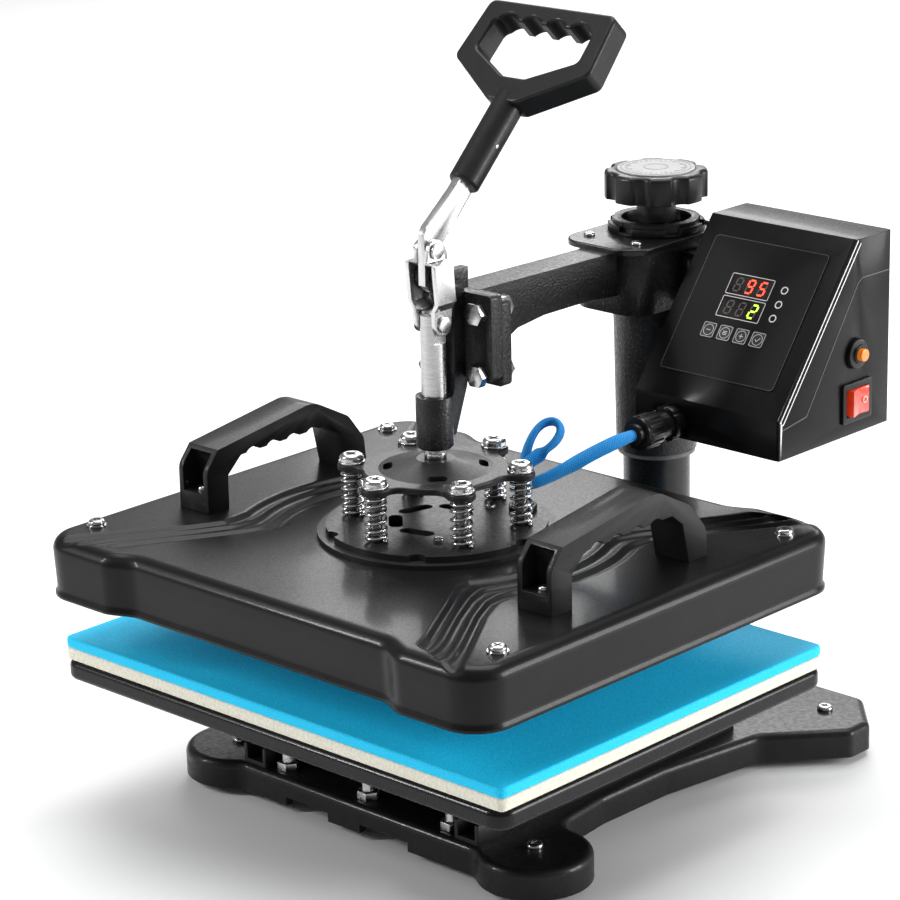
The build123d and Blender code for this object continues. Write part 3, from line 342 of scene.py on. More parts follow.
def pad_silicone():
    look = Finish("pad_silicone", specular=0.35)
    look.tint(look.noise(1500, 2), [(0.38, (0.0, 0.48, 0.88)), (0.5, (0.001, 0.60, 0.97)),
                                    (0.64, (0.02, 0.72, 1.0))])
    look.rough(look.noise(900, 4), 0.55, 0.75)
    look.bump(look.noise(1400, 3), 0.35, 0.0004)
    return look.material


def pad_foam():
    look = Finish("pad_foam", specular=0.2)
    look.tint(look.noise(500, 5), [(0.3, (0.72, 0.69, 0.56)), (0.65, (0.88, 0.86, 0.76))])
    look.rough(look.noise(400, 3), 0.8, 0.95)
    look.bump(look.cells(1100), 0.5, 0.0005)
    return look.material


def foot_rubber():
    look = Finish("foot_rubber", specular=0.3)
    look.tint(look.noise(120, 4), [(0.3, grey(0.010)), (0.7, grey(0.022))])
    look.rough(look.noise(300, 3), 0.7, 0.9)
    look.bump(look.noise(1200, 3), 0.3, 0.0003)
    return look.material


def bush_plastic():
    look = Finish("bush_plastic", specular=0.4)
    look.tint(look.noise(90, 3), [(0.3, grey(0.10)), (0.7, grey(0.16))])
    look.rough(look.noise(500, 3), 0.4, 0.55)
    return look.material


def collar_brass():
    look = Finish("collar_brass", metallic=1.0)
    look.tint(look.noise(120, 4, (1, 1, 10)), [(0.3, (0.50, 0.36, 0.14)), (0.7, (0.66, 0.50, 0.22))])
    look.rough(look.noise(300, 3, (1, 1, 12)), 0.22, 0.4)
    return look.material


# Matt moulded plastic with a fine grain.
def moulded(name, low, high, rough_low, rough_high, grain=1300, strength=0.3):
    look = Finish(name, coat=0.1, specular=0.25)
    look.tint(look.noise(60, 4), [(0.3, grey(low)), (0.7, grey(high))])
    look.rough(look.noise(grain * 0.6, 4), rough_low, rough_high)
    look.bump(look.noise(grain, 3), strength, 0.0003)
    return look.material


def grip_plastic():
    return moulded("grip_plastic", 0.006, 0.011, 0.38, 0.55)


def knob_plastic():
    return moulded("knob_plastic", 0.006, 0.011, 0.32, 0.48)


def socket_plastic():
    return moulded("socket_plastic", 0.005, 0.010, 0.36, 0.5, 1800, 0.2)


def connector_plastic():
    return moulded("connector_plastic", 0.006, 0.012, 0.28, 0.42, 1500, 0.15)


def cap_disc():
    look = Finish("cap_disc", specular=0.5, coat=0.2)
    look.tint(look.noise(90, 5, (1, 8, 1)), [(0.3, grey(0.22)), (0.7, grey(0.30))])
    look.rough(look.noise(400, 3, (1, 8, 1)), 0.42, 0.55)
    return look.material


def overlay():
    look = Finish("overlay", specular=0.16)
    look.tint(look.noise(18, 3), [(0.3, grey(0.005)), (0.7, grey(0.008))])
    look.rough(look.noise(1600, 3), 0.30, 0.42)
    look.bump(look.noise(2400, 2), 0.12, 0.0001)
    return look.material


def display():
    look = Finish("display", roughness=0.12, specular=0.6, coat=0.5)
    look.tint(look.noise(200, 3), [(0.3, (0.012, 0.008, 0.008)), (0.7, (0.022, 0.014, 0.014))])
    return look.material


def keys():
    look = Finish("keys", specular=0.45)
    look.tint(look.noise(150, 3), [(0.3, grey(0.014)), (0.7, grey(0.022))])
    look.rough(look.noise(900, 3), 0.35, 0.5)
    look.bump(look.noise(2000, 2), 0.15, 0.0001)
    return look.material


def circuit_board():
    look = Finish("circuit_board", specular=0.5)
    look.tint(look.cells(260, "Color"), [(0.0, (0.01, 0.10, 0.03)), (0.7, (0.02, 0.18, 0.06)),
                                         (1.0, (0.5, 0.4, 0.2))])
    look.rough(look.noise(300, 3), 0.3, 0.5)
    return look.material


# Tinted plastic with a painted glow: its emission stands in for light shining through the plastic.
def clear_plastic(name, dark, light, painted_glow):
    look = Finish(name, roughness=0.18, specular=0.6, coat=0.5)
    look.tint(look.noise(90, 3), [(0.3, dark), (0.7, light)])
    # Painted glow: the emission fakes light coming through the plastic.
    look.bsdf.inputs["Emission Color"].default_value = (*light, 1)
    look.bsdf.inputs["Emission Strength"].default_value = painted_glow
    look.rough(look.noise(500, 3), 0.12, 0.26)
    return look.material


def switch_red():
    return clear_plastic("switch_red", (0.62, 0.015, 0.004), (0.85, 0.05, 0.010), 0.25)


def breaker_amber():
    return clear_plastic("breaker_amber", (0.85, 0.16, 0.01), (0.95, 0.28, 0.02), 0.25)


def lead_sleeve():
    """Braided sleeve: two sets of strands crossing at 45 degrees, from the tube's own coordinates."""
    look = Finish("lead_sleeve", specular=0.35)
    uv = look.add("ShaderNodeTexCoord").outputs["UV"]
    heights = []
    for turn in (0.72, -0.72):
        mapping = look.add("ShaderNodeMapping", Rotation=(0, 0, turn))
        wave = look.add("ShaderNodeTexWave", Scale=240, Distortion=0.6)
        look.link(uv, mapping.inputs["Vector"])
        look.link(mapping.outputs["Vector"], wave.inputs["Vector"])
        heights.append(wave.outputs["Fac"])
    weave = look.add("ShaderNodeMath", operation="MAXIMUM")
    look.link(heights[0], weave.inputs[0])
    look.link(heights[1], weave.inputs[1])
    look.tint(weave.outputs["Value"], [(0.15, (0.0, 0.20, 0.74)), (0.6, (0.002, 0.33, 0.94)),
                                       (1.0, (0.01, 0.42, 1.0))])
    look.rough(look.noise(900, 3), 0.45, 0.65)
    look.bump(weave.outputs["Value"], 0.6, 0.0004)
    look.bsdf.inputs["Sheen Weight"].default_value = 0.3
    return look.material


def platen_alloy():
    return plated("platen_alloy", 0.42, 0.58, 0.3, 0.5, 200)


def element_steel():
    return plated("element_steel", 0.20, 0.34, 0.4, 0.6, 200)


def insulation_fibre():
    look = Finish("insulation_fibre", specular=0.2)
    look.tint(look.noise(300, 5), [(0.3, (0.62, 0.60, 0.54)), (0.7, (0.82, 0.80, 0.74))])
    look.rough(look.noise(300, 3), 0.85, 1.0)
    look.bump(look.noise(700, 5), 0.6, 0.0008)
    return look.material


def thermostat_body():
    look = Finish("thermostat_body", specular=0.4)
    look.tint(look.noise(200, 4), [(0.3, (0.52, 0.48, 0.40)), (0.7, (0.66, 0.62, 0.54))])
    look.rough(look.noise(300, 3), 0.5, 0.7)
    return look.material


def white_print():
    look = Finish("white_print", specular=0.3)
    look.tint(look.noise(900, 3), [(0.3, grey(0.62)), (0.7, grey(0.74))])
    look.rough(look.noise(500, 3), 0.45, 0.6)
    return look.material


def grey_print():
    look = Finish("grey_print", specular=0.3)
    look.tint(look.noise(900, 3), [(0.3, grey(0.10)), (0.7, grey(0.16))])
    look.rough(look.noise(500, 3), 0.45, 0.6)
    return look.material


# Light that comes through the panel.
def lit(name, colour, strength):
    look = Finish(name)
    look.tint(look.noise(700, 2), [(0.3, colour), (0.7, tuple(min(1, c * 1.1) for c in colour))])
    look.bsdf.inputs["Emission Color"].default_value = (*colour, 1)
    look.bsdf.inputs["Emission Strength"].default_value = strength
    return look.material


MAKERS = [base_paint, cover_paint, arm_paint, column_paint, tray_paint, box_paint, bolt_chrome, link_chrome,
          rod_steel, spring_steel, black_steel, pad_silicone, pad_foam, foot_rubber, bush_plastic,
          collar_brass, grip_plastic, knob_plastic, cap_disc, overlay, display, keys, circuit_board,
          socket_plastic, switch_red, breaker_amber, connector_plastic, lead_sleeve, platen_alloy,
          element_steel, insulation_fibre, thermostat_body]
LOOKS = {make.__name__: make() for make in MAKERS}
PRINT = {
    "white": white_print(), "grey": grey_print(), "red": lit("digit_red", (1.0, 0.05, 0.02), 3.0),
    "green": lit("digit_green", (0.45, 1.0, 0.05), 2.2), "off": lit("digit_off", grey(0.05), 0.0),
    # The bright silver of the side ribs is a painted highlight, standing in for the light that their folds
    # reflect.
    "painted_highlight": plated("rib_painted_highlight", 0.70, 0.80, 0.25, 0.35),
}


# ---- mesh helpers ----
def add_piece(name, vertices, faces, body, slot, material=None, smooth=True):
    """A new mesh object in a record slot, which rides a body if one is given."""
    mesh = bpy.data.meshes.new(name)
    mesh.from_pydata([tuple(v) for v in vertices], [], [tuple(f) for f in faces])
    mesh.validate()
    piece = bpy.data.objects.new(name, mesh)
    bpy.context.scene.collection.objects.link(piece)
    piece.data.materials.append(material or LOOKS[slot])
    if smooth:
        mesh.polygons.foreach_set("use_smooth", [True] * len(mesh.polygons))
    if body:
        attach(piece, body)
    return piece


def apply_modifiers(piece):
    """Bakes the modifiers into the mesh."""
    bpy.context.view_layer.update()
    shaped = bpy.data.meshes.new_from_object(piece.evaluated_get(bpy.context.evaluated_depsgraph_get()))
    piece.modifiers.clear()
    piece.data = shaped


def rings_mesh(rings, cap_start=True, cap_end=True):
    """Vertices and faces of a loft through closed rings of equal length."""
    count = len(rings[0])
    vertices = [p for ring in rings for p in ring]
    faces = []
    for k in range(len(rings) - 1):
        for i in range(count):
            j = (i + 1) % count
            a, b = k * count, (k + 1) * count
            faces.append((a + i, a + j, b + j, b + i))
    for wanted, ring, start, flip in ((cap_start, rings[0], 0, True),
                                      (cap_end, rings[-1], (len(rings) - 1) * count, False)):
        if wanted:
            centre = len(vertices)
            vertices.append(tuple(np.mean(np.array(ring), axis=0)))
            for i in range(count):
                pair = (start + i, start + (i + 1) % count)
                faces.append((centre, *(pair[::-1] if flip else pair)))
    return vertices, faces


def sweep(points, section, across=None):
    """A closed tube along points. section(k) gives its (u, v) outline; across guides its u axis."""
    pts = [Vector(p) for p in points]
    rings, side = [], None
    for k, p in enumerate(pts):
        tangent = (pts[min(k + 1, len(pts) - 1)] - pts[max(k - 1, 0)]).normalized()
        if across:
            side = Vector(across[k])
        elif side is None:
            side = tangent.orthogonal()
        side = (side - tangent * side.dot(tangent)).normalized()
        up = tangent.cross(side)
        rings.append([tuple(p + side * u + up * v) for u, v in section(k)])
    return rings_mesh(rings)


GRIP_BEND_RADIUS, GRIP_BEND_SEGMENTS = 0.007, 5
BEND_LEAST, BEND_MOST, BEND_FACE_AREA = radians(12), radians(65), 1.2e-4


def round_bends(work):
    """Rounds the bends between the large plain faces of a bar that is bent about the X direction."""
    bends = []
    for edge in work.edges:
        along = (edge.verts[1].co - edge.verts[0].co).normalized()
        if abs(along.x) < 0.99 or len(edge.link_faces) != 2:
            continue
        plain = all(len(f.verts) == 4 and f.calc_area() > BEND_FACE_AREA for f in edge.link_faces)
        if BEND_LEAST < edge.calc_face_angle(0) < BEND_MOST and plain:
            bends.append(edge)
    bmesh.ops.bevel(work, geom=bends, offset=GRIP_BEND_RADIUS, segments=GRIP_BEND_SEGMENTS,
                    affect="EDGES", profile=0.5, clamp_overlap=True)


MERGE_DISTANCE, FLAT_ANGLE, SHARP_ANGLE, EDGE_SEGMENTS = 2e-6, radians(1.0), radians(32), 2


def softened(node, width):
    """The CAD node's shape with its edges rounded off, in place of the node."""
    source = NODES[node]
    mesh = source.data.copy()
    mesh.transform(source.matrix_world)
    work = bmesh.new()
    work.from_mesh(mesh)
    bmesh.ops.remove_doubles(work, verts=work.verts, dist=MERGE_DISTANCE)
    bmesh.ops.dissolve_limit(work, angle_limit=FLAT_ANGLE, verts=work.verts, edges=work.edges)
    if node == "side_grips":
        round_bends(work)
    work.to_mesh(mesh)
    work.free()
    mesh.materials.clear()
    mesh.polygons.foreach_set("use_smooth", [True] * len(mesh.polygons))
    piece = bpy.data.objects.new(node + "_soft", mesh)
    bpy.context.scene.collection.objects.link(piece)
    piece.data.materials.append(LOOKS[SUBPARTS[node]])
    bevel = piece.modifiers.new("bevel", "BEVEL")
    bevel.width, bevel.segments, bevel.limit_method = width, EDGE_SEGMENTS, "ANGLE"
    bevel.angle_limit = SHARP_ANGLE
    bevel.use_clamp_overlap, bevel.harden_normals = True, True
    apply_modifiers(piece)
    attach(piece, BODY_OF[node])
    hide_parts(node)


def paint_nodes():
    """Gives every CAD node its finish. The screw under the knob is blackened."""
    for node, piece in NODES.items():
        for slot in piece.material_slots:
            slot.material = LOOKS["black_steel" if node == "pressure_screw" else SUBPARTS[node]]


# Edge rounding of each node in millimetres.
SOFT_EDGES = {
    "side_grips": 2.6, "arm_casting": 1.4, "toggle_bracket": 1.2, "yoke_cheeks": 0.7, "lever_bar": 0.9,
    "pressure_knob": 1.6, "lock_ring": 0.6, "heater_connector": 0.35,
    "cross_channels": 0.6, "base_rails": 0.4, "box_bracket": 0.6, "spring_bolts": 0.2, "arm_fasteners": 0.35,
    "base_fasteners": 0.25, "rocker": 0.6, "rocker_housing": 0.5, "breaker_body": 0.4, "power_inlet": 0.4,
    "cable_gland": 0.4, "side_cover": 0.4, "control_case": 0.35, "heated_platen": 0.6, "plunger_nuts": 0.4,
    "lever_pins": 0.4, "yoke_stub_pins": 0.4, "levelling_studs": 0.3,
}


# ---- head cover ----
# Sizes of the pressed cover in metres, and the steps of its mesh.
WALL_IN, WALL_IN_END, WALL_IN_RUN, END_WALL_DEPTH = 0.008, 0.129, 0.024, 0.02
CORNER_R, TOP_R, SHEET, DISC_RIM = 0.025, 0.009, 0.002, 0.05
LIP, LIP_HEIGHT = 0.0013, 0.006
OUTLINE_POINTS, TOP_RINGS, FILLET_STEPS = 720, 91, 9
BAND_DEPTH, BAND_SLOPE, RIDGES, RIDGE_WIDTH, RIDGE_RISE = 0.0026, 0.005, (0.36, 0.70), 0.085, 0.85


def cover_outline(count):
    """Plan of the cover, anticlockwise, with the front and back walls set in between the corners."""
    half_x, half_y = (COVER_HIGH.x - COVER_LOW.x) / 2, (COVER_HIGH.y - COVER_LOW.y) / 2
    straight_x, straight_y, arc = 2 * (half_x - CORNER_R), 2 * (half_y - CORNER_R), CORNER_R * pi / 2
    total = 2 * straight_x + 2 * straight_y + 4 * arc
    corners = [(1, -1), (1, 1), (-1, 1), (-1, -1)]
    points = []
    for i in range(count):
        along = total * i / count
        for k, (sx, sy) in enumerate(corners):
            straight = straight_y if k % 2 == 0 else straight_x
            centre = (sx * (half_x - CORNER_R), sy * (half_y - CORNER_R))
            begin = -pi / 2 + k * pi / 2
            if along < arc:
                angle = begin + along / CORNER_R
                points.append((centre[0] + CORNER_R * cos(angle), centre[1] + CORNER_R * sin(angle)))
                break
            along -= arc
            if along < straight:
                end = begin + pi / 2
                x = centre[0] + CORNER_R * cos(end) - along * sin(end)
                y = centre[1] + CORNER_R * sin(end) + along * cos(end)
                points.append((x, y))
                break
            along -= straight
    outline = np.array(points)
    t = np.clip((WALL_IN_END - np.abs(outline[:, 0])) / WALL_IN_RUN, 0, 1)
    deep = np.where(np.abs(outline[:, 1]) > half_y - END_WALL_DEPTH, WALL_IN * t * t * (3 - 2 * t), 0)
    outline[:, 1] -= np.sign(outline[:, 1]) * deep
    return outline


def outward(outline):
    """Unit normals of a closed anticlockwise outline."""
    edge = np.roll(outline, -1, axis=0) - np.roll(outline, 1, axis=0)
    normal = np.stack([edge[:, 1], -edge[:, 0]], axis=1)
    return normal / np.linalg.norm(normal, axis=1, keepdims=True)


def band_edge(points, radius, bend):
    """Edge of the pressed band in one quarter: from the front edge in to the disc, then round it."""
    arc = [(radius * cos(a), -radius * sin(a)) for a in np.linspace(bend, 0, 8)]
    return [(x * MM, y * MM) for x, y in points + arc]


BAND_INNER = band_edge([(128, -152), (124, -143), (93, -91), (79, -69), (77, -56)], 95, radians(27))
BAND_OUTER = band_edge([(182, -172), (173, -160), (129, -93), (119, -73), (119, -62)], 131, radians(24))


def distance_to_line(px, py, line):
    """Distance from each point to an open line."""
    best = np.full(px.shape, 1.0)
    for (ax, ay), (bx, by) in zip(line, line[1:]):
        dx, dy = bx - ax, by - ay
        t = np.clip(((px - ax) * dx + (py - ay) * dy) / (dx * dx + dy * dy), 0, 1)
        best = np.minimum(best, np.hypot(px - ax - t * dx, py - ay - t * dy))
    return best


def inside_polygon(px, py, polygon):
    """Which points lie inside a polygon."""
    inside = np.zeros(px.shape, bool)
    for (ax, ay), (bx, by) in zip(polygon, polygon[1:] + polygon[:1]):
        crosses = (ay > py) != (by > py)
        with np.errstate(divide="ignore", invalid="ignore"):
            at = (bx - ax) * (py - ay) / (by - ay) + ax
        inside ^= crosses & (px < at)
    return inside


def band_height(x, y):
    """Height of the cover's top: a sunk band on each side with two ridges along it."""
    px, py = np.abs(x), -np.abs(y)
    inner, outer = distance_to_line(px, py, BAND_INNER), distance_to_line(px, py, BAND_OUTER)
    inside = inside_polygon(px, py, BAND_INNER + BAND_OUTER[::-1])
    u = inner / (inner + outer + 1e-9)
    edge = np.clip(np.minimum(inner, outer) / BAND_SLOPE, 0, 1)
    floor = edge * edge * (3 - 2 * edge)
    ridge = sum(np.exp(-((u - place) / RIDGE_WIDTH) ** 2) for place in RIDGES)
    return np.where(inside, -BAND_DEPTH * floor * (1 - RIDGE_RISE * np.clip(ridge, 0, 1)), 0)


def head_cover():
    """Pressed steel cover: rolled lip, walls, rounded top edge and the pressed bands on top."""
    outline = cover_outline(OUTLINE_POINTS)
    normal = outward(outline)
    low, top = COVER_LOW.z, COVER_HIGH.z
    lip_top, fillet_start, fade_start = low + LIP_HEIGHT, top - TOP_R, top - TOP_R * 0.6
    profile = [(0.0, low), (0.0, low + 0.002), (LIP - 0.0001, low + 0.0035), (LIP, lip_top)]
    profile += [(LIP * (1 - t), lip_top + t * (fillet_start - lip_top)) for t in (0.3, 0.6, 1.0)]
    for k in range(1, FILLET_STEPS + 1):
        angle = pi / 2 * k / FILLET_STEPS
        profile.append((TOP_R * (1 - cos(angle)), top - TOP_R * (1 - sin(angle))))
    rings = [(outline - normal * inset, z) for inset, z in profile]
    rim = outline - normal * TOP_R
    direction = rim / np.linalg.norm(rim, axis=1, keepdims=True)
    for t in np.linspace(0, 1, TOP_RINGS + 1)[1:]:
        rings.append((rim * (1 - t) + direction * DISC_RIM * t, top))
    shaped = []
    for plan, z in rings:
        share = np.clip((z - fade_start) / (top - fade_start), 0, 1)
        heights = z + band_height(plan[:, 0], plan[:, 1]) * share
        shaped.append([(HEAD_AXIS.x + x, HEAD_AXIS.y + y, h) for (x, y), h in zip(plan, heights)])
    vertices, faces = rings_mesh(shaped, False, True)
    cover = add_piece("head_cover_shell", vertices, faces, None, "cover_paint")
    solid = cover.modifiers.new("solid", "SOLIDIFY")
    solid.thickness, solid.offset = SHEET, -1
    apply_modifiers(cover)
    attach(cover, "head")
    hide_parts("head_cover")


# ---- pads ----
PAD_POINTS, PAD_CORNER = 560, 0.004


def pad_outline(half):
    """Plan of a pad about its middle: a rectangle with small round corners."""
    angle = np.linspace(0, 2 * pi, PAD_POINTS, endpoint=False)
    ray = np.stack([np.cos(angle), np.sin(angle)], axis=1)
    outline = ray * np.min(half / np.maximum(np.abs(ray), 1e-9), axis=1)[:, None]
    excess = np.maximum(np.abs(outline) - (half - PAD_CORNER), 0)
    length = np.linalg.norm(excess, axis=1)
    round_here = (excess > 0).all(axis=1) & (length > PAD_CORNER)
    pull = np.where(round_here, PAD_CORNER / np.maximum(length, 1e-9), 1)
    return np.sign(outline) * (np.minimum(np.abs(outline), half - PAD_CORNER) + excess * pull[:, None])


def pad_top_drop(ring, outline, waviness):
    """How far the top face sinks below the pad's top: a soft unevenness that ends at the edge."""
    x, y = ring[:, 0], ring[:, 1]
    wave = np.sin(x * 31 + 1.3) * np.cos(y * 27 - 0.4) + 0.5 * np.sin(x * 83 - y * 61)
    inside = 1 - np.linalg.norm(ring, axis=1) / np.linalg.norm(outline, axis=1)
    return waviness * (0.8 + 0.2 * wave) * np.clip(inside, 0, 0.06) / 0.06


def pad_piece(name, node, slot, edge, waviness):
    """A soft slab with rounded edges and a slightly uneven face, in place of its CAD solid."""
    low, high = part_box(node)
    middle, thickness = (low + high) / 2, high.z - low.z
    outline = pad_outline(np.array([(high.x - low.x) / 2, (high.y - low.y) / 2]))
    normal = outward(outline)
    rounds = [(edge * (1 - sin(a)), edge * (1 - cos(a))) for a in np.linspace(0, pi / 2, 6)]
    profile = [(inset, low.z + rise) for inset, rise in rounds]
    profile += [(0.0, low.z + thickness * t) for t in (0.35, 0.5, 0.65)]
    profile += [(inset, high.z - rise) for inset, rise in rounds[::-1]]
    face = outline - normal * edge
    bottom_shares = (*np.linspace(0.02, 0.97, 12), 0.9985)
    top_shares = (*np.linspace(0.02, 0.985, 70), 0.994, 0.9985)
    bottom = [[(middle.x + x, middle.y + y, low.z) for x, y in face * t] for t in bottom_shares]
    side = [[(middle.x + x, middle.y + y, z) for x, y in outline - normal * inset] for inset, z in profile]
    top = []
    for ring in (face * t for t in reversed(top_shares)):
        drop = pad_top_drop(ring, outline, waviness)
        top.append([(middle.x + x, middle.y + y, high.z - d) for (x, y), d in zip(ring, drop)])
    vertices, faces = rings_mesh(bottom + side + top)
    piece = add_piece(name, vertices, faces, BODY_OF[node], slot)
    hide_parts(node)


# ---- springs ----
SPRING_COUNT, SPRING_CIRCLE, SPRING_FIRST = 6, 0.05425, radians(30)
SPRING_WIRE, SPRING_RADIUS, SPRING_TURNS, TURN_STEPS, WIRE_SIDES = 0.0011, 0.0063, 6.5, 22, 10
CLOSED_SHARE = 0.55


def ring_points(width, height, sides):
    """An ellipse about the origin, from its half sizes."""
    return [(width * cos(2 * pi * i / sides), height * sin(2 * pi * i / sides)) for i in range(sides)]


def coil_springs():
    """Six springs with closed end coils."""
    low, high = DISC_TOP, STAR_UNDERSIDE
    steps = int(SPRING_TURNS * TURN_STEPS)
    path = []
    for k in range(steps + 1):
        t = k / steps
        share = (1 - CLOSED_SHARE) * t + CLOSED_SHARE * (0.5 - 0.5 * cos(pi * t))
        angle = 2 * pi * SPRING_TURNS * t
        z = low + SPRING_WIRE + share * (high - low - 2 * SPRING_WIRE)
        path.append((SPRING_RADIUS * cos(angle), SPRING_RADIUS * sin(angle), z))
    section = ring_points(SPRING_WIRE, SPRING_WIRE, WIRE_SIDES)
    vertices, faces = [], []
    for k in range(SPRING_COUNT):
        angle = SPRING_FIRST + 2 * pi * k / SPRING_COUNT
        x, y = HEAD_AXIS.x + SPRING_CIRCLE * cos(angle), HEAD_AXIS.y + SPRING_CIRCLE * sin(angle)
        part, part_faces = sweep(path, lambda _: section)
        offset = len(vertices)
        vertices += [(px + x, py + y, pz) for px, py, pz in part]
        faces += [tuple(i + offset for i in f) for f in part_faces]
    springs = add_piece("coil_springs_wire", vertices, faces, "head", "spring_steel")
    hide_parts("coil_springs")
    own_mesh(springs)


# ---- heater lead ----
LEAD_END_WIDTH, LEAD_END_THICKNESS, LEAD_END_STEPS, LEAD_SIDES = 0.0036, 0.0034, 14, 28
FLAT_WINDOW, FLAT_FIRST, FLAT_BIAS = 26, Vector((0.7, -0.3, -0.6)), Vector((0.02, -0.01, -0.02))
BRAID_AROUND = 0.023


def smooth_route():
    """Points of the lead's smooth line, read from its NURBS spline."""
    curve = bpy.data.curves.new("lead_line", "CURVE")
    curve.dimensions, curve.resolution_u = "3D", 12
    spline = curve.splines.new("NURBS")
    spline.points.add(len(LEAD) - 1)
    for point, place in zip(spline.points, LEAD):
        point.co = (*(c * MM for c in place), 1)
    spline.order_u = 3
    spline.use_endpoint_u = True
    line = bpy.data.objects.new("lead_line", curve)
    bpy.context.scene.collection.objects.link(line)
    bpy.context.view_layer.update()
    mesh = bpy.data.meshes.new_from_object(line)
    points = [v.co.copy() for v in mesh.vertices]
    bpy.data.objects.remove(line)
    if (points[0] - Vector(LEAD[0]) * MM).length > (points[-1] - Vector(LEAD[0]) * MM).length:
        points.reverse()
    return points


def flat_side(points):
    """Direction of the sleeve's wide side: across the plane that it bends in, evened out."""
    turns, last = [], FLAT_FIRST
    for k in range(len(points)):
        a, b, c = points[max(k - 2, 0)], points[k], points[min(k + 2, len(points) - 1)]
        turn = (b - a).cross(c - b) * 1e6
        if turn.dot(last) < 0:
            turn.negate()
        if turn.length > 1e-3:
            last = turn.normalized()
        turns.append(turn)
    smooth = []
    for k in range(len(points)):
        total = FLAT_BIAS.copy()
        for j in range(max(0, k - FLAT_WINDOW), min(len(points), k + FLAT_WINDOW + 1)):
            total += turns[j] * (1 - abs(j - k) / (FLAT_WINDOW + 1))
        smooth.append(total.normalized())
    return smooth


def heater_lead():
    """Flattened braided sleeve, round where it enters the connector and the gland."""
    points = smooth_route()
    count = len(points)

    def section(k):
        flat = min(1.0, min(k, count - 1 - k) / LEAD_END_STEPS)
        wide = LEAD_END_WIDTH + (LEAD_WIDTH / 2 - LEAD_END_WIDTH) * flat
        thin = LEAD_END_THICKNESS + (LEAD_THICKNESS / 2 - LEAD_END_THICKNESS) * flat
        return ring_points(wide, thin, LEAD_SIDES)

    vertices, faces = sweep(points, section, flat_side(points))
    lead = add_piece("heater_lead_sleeve", vertices, faces, None, "lead_sleeve")
    layer = lead.data.uv_layers.new(name="UVMap")
    travelled = [0.0]
    for a, b in zip(points, points[1:]):
        travelled.append(travelled[-1] + (b - a).length)
    for polygon in lead.data.polygons:
        around = [lead.data.loops[i].vertex_index % LEAD_SIDES for i in polygon.loop_indices]
        wraps = max(around) - min(around) > LEAD_SIDES / 2
        for loop, turn in zip(polygon.loop_indices, around):
            vertex = lead.data.loops[loop].vertex_index
            ring = min(vertex // LEAD_SIDES, count - 1)
            step = turn + (LEAD_SIDES if wraps and turn < LEAD_SIDES / 2 else 0)
            layer.data[loop].uv = (travelled[ring], step * BRAID_AROUND / LEAD_SIDES)
    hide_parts("heater_lead")
    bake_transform(lead)


# ---- control panel ----
def on_slope(x, s, lift):
    """Point on the sloped panel: x across, s up the slope from the front bend, lift out of it."""
    return SLOPE_FRONT + SLOPE_UP * (s * MM) + SLOPE_OUT * (lift * MM) + Vector((x * MM, 0, 0))


def on_side(y, z, lift):
    """Point on the box's right side."""
    return Vector((SIDE_HIGH.x + lift * MM, y * MM, z * MM))


def stroke(points, width, closed=False):
    """Outline of a line of even width, as two edges, in plan units."""
    pts = [Vector(p) for p in points]
    last = len(pts) - 1
    left, right = [], []
    for k, p in enumerate(pts):
        before = pts[k - 1] if k > 0 or closed else None
        after = pts[(k + 1) % len(pts)] if k < last or closed else None
        a = (p - before).normalized() if before is not None else None
        b = (after - p).normalized() if after is not None else None
        a, b = a or b, b or a
        mean = (a + b).normalized()
        side = Vector((-mean.y, mean.x))
        reach = width / 2 / max(0.4, side.dot(Vector((-a.y, a.x))))
        left.append(p + side * reach)
        right.append(p - side * reach)
    return left, right


def stroke_mesh(lines, width, place, low, high, closed=True):
    """Solid raised lines on a surface: place(x, y, lift) maps plan points onto it."""
    vertices, faces = [], []
    for line in lines:
        left, right = stroke(line, width, closed)
        count, start = len(line), len(vertices)
        for side, lift in ((left, low), (right, low), (right, high), (left, high)):
            vertices += [place(p.x, p.y, lift) for p in side]
        spans = count if closed else count - 1
        for k in range(spans):
            j = (k + 1) % count
            for m in range(4):
                n = (m + 1) % 4
                faces.append((start + m * count + k, start + m * count + j, start + n * count + j,
                              start + n * count + k))
        if not closed:
            for k, flip in ((0, 1), (count - 1, -1)):
                faces.append(tuple(start + m * count + k for m in range(4))[::flip])
    return vertices, faces


def circle(x, y, radius, count=28):
    return [(x + u, y + v) for u, v in ring_points(radius, radius, count)]


def round_box(x, y, width, height, radius):
    """Outline of a rectangle with round corners, about its middle."""
    points = []
    for k, (sx, sy) in enumerate(((1, -1), (1, 1), (-1, 1), (-1, -1))):
        for a in np.linspace(-pi / 2 + k * pi / 2, k * pi / 2, 5):
            points.append((x + sx * (width / 2 - radius) + radius * cos(a),
                           y + sy * (height / 2 - radius) + radius * sin(a)))
    return points


# Raised lines as one piece, in one of the PRINT finishes.
def print_lines(name, lines, width, place, low, high, body, colour, closed=True):
    vertices, faces = stroke_mesh(lines, width, place, low, high, closed)
    return add_piece(name, vertices, faces, body, "overlay", PRINT[colour], smooth=False)


DISPLAY_AT = ((101.5, 82.5), (101.5, 66.5))
LAMP_AT = ((128.0, 84.5), (128.0, 74.5), (128.0, 64.7))
KEY_AT = {"key_minus": 84.3, "key_mode": 97.4, "key_plus": 110.5, "key_set": 123.6}
KEY_S, KEY_LIFT, PANEL_LIFT, WINDOW_LIFT, PRINT_ROOT = 48.8, 0.8, 0.6, 0.4, 0.05


def slope_print(name, lines, width, surface, rise, body, colour, closed=True):
    """Raised print on the sloped panel: its root goes just under the surface."""
    print_lines(name, lines, width, on_slope, surface - PRINT_ROOT, surface + rise, body, colour, closed)


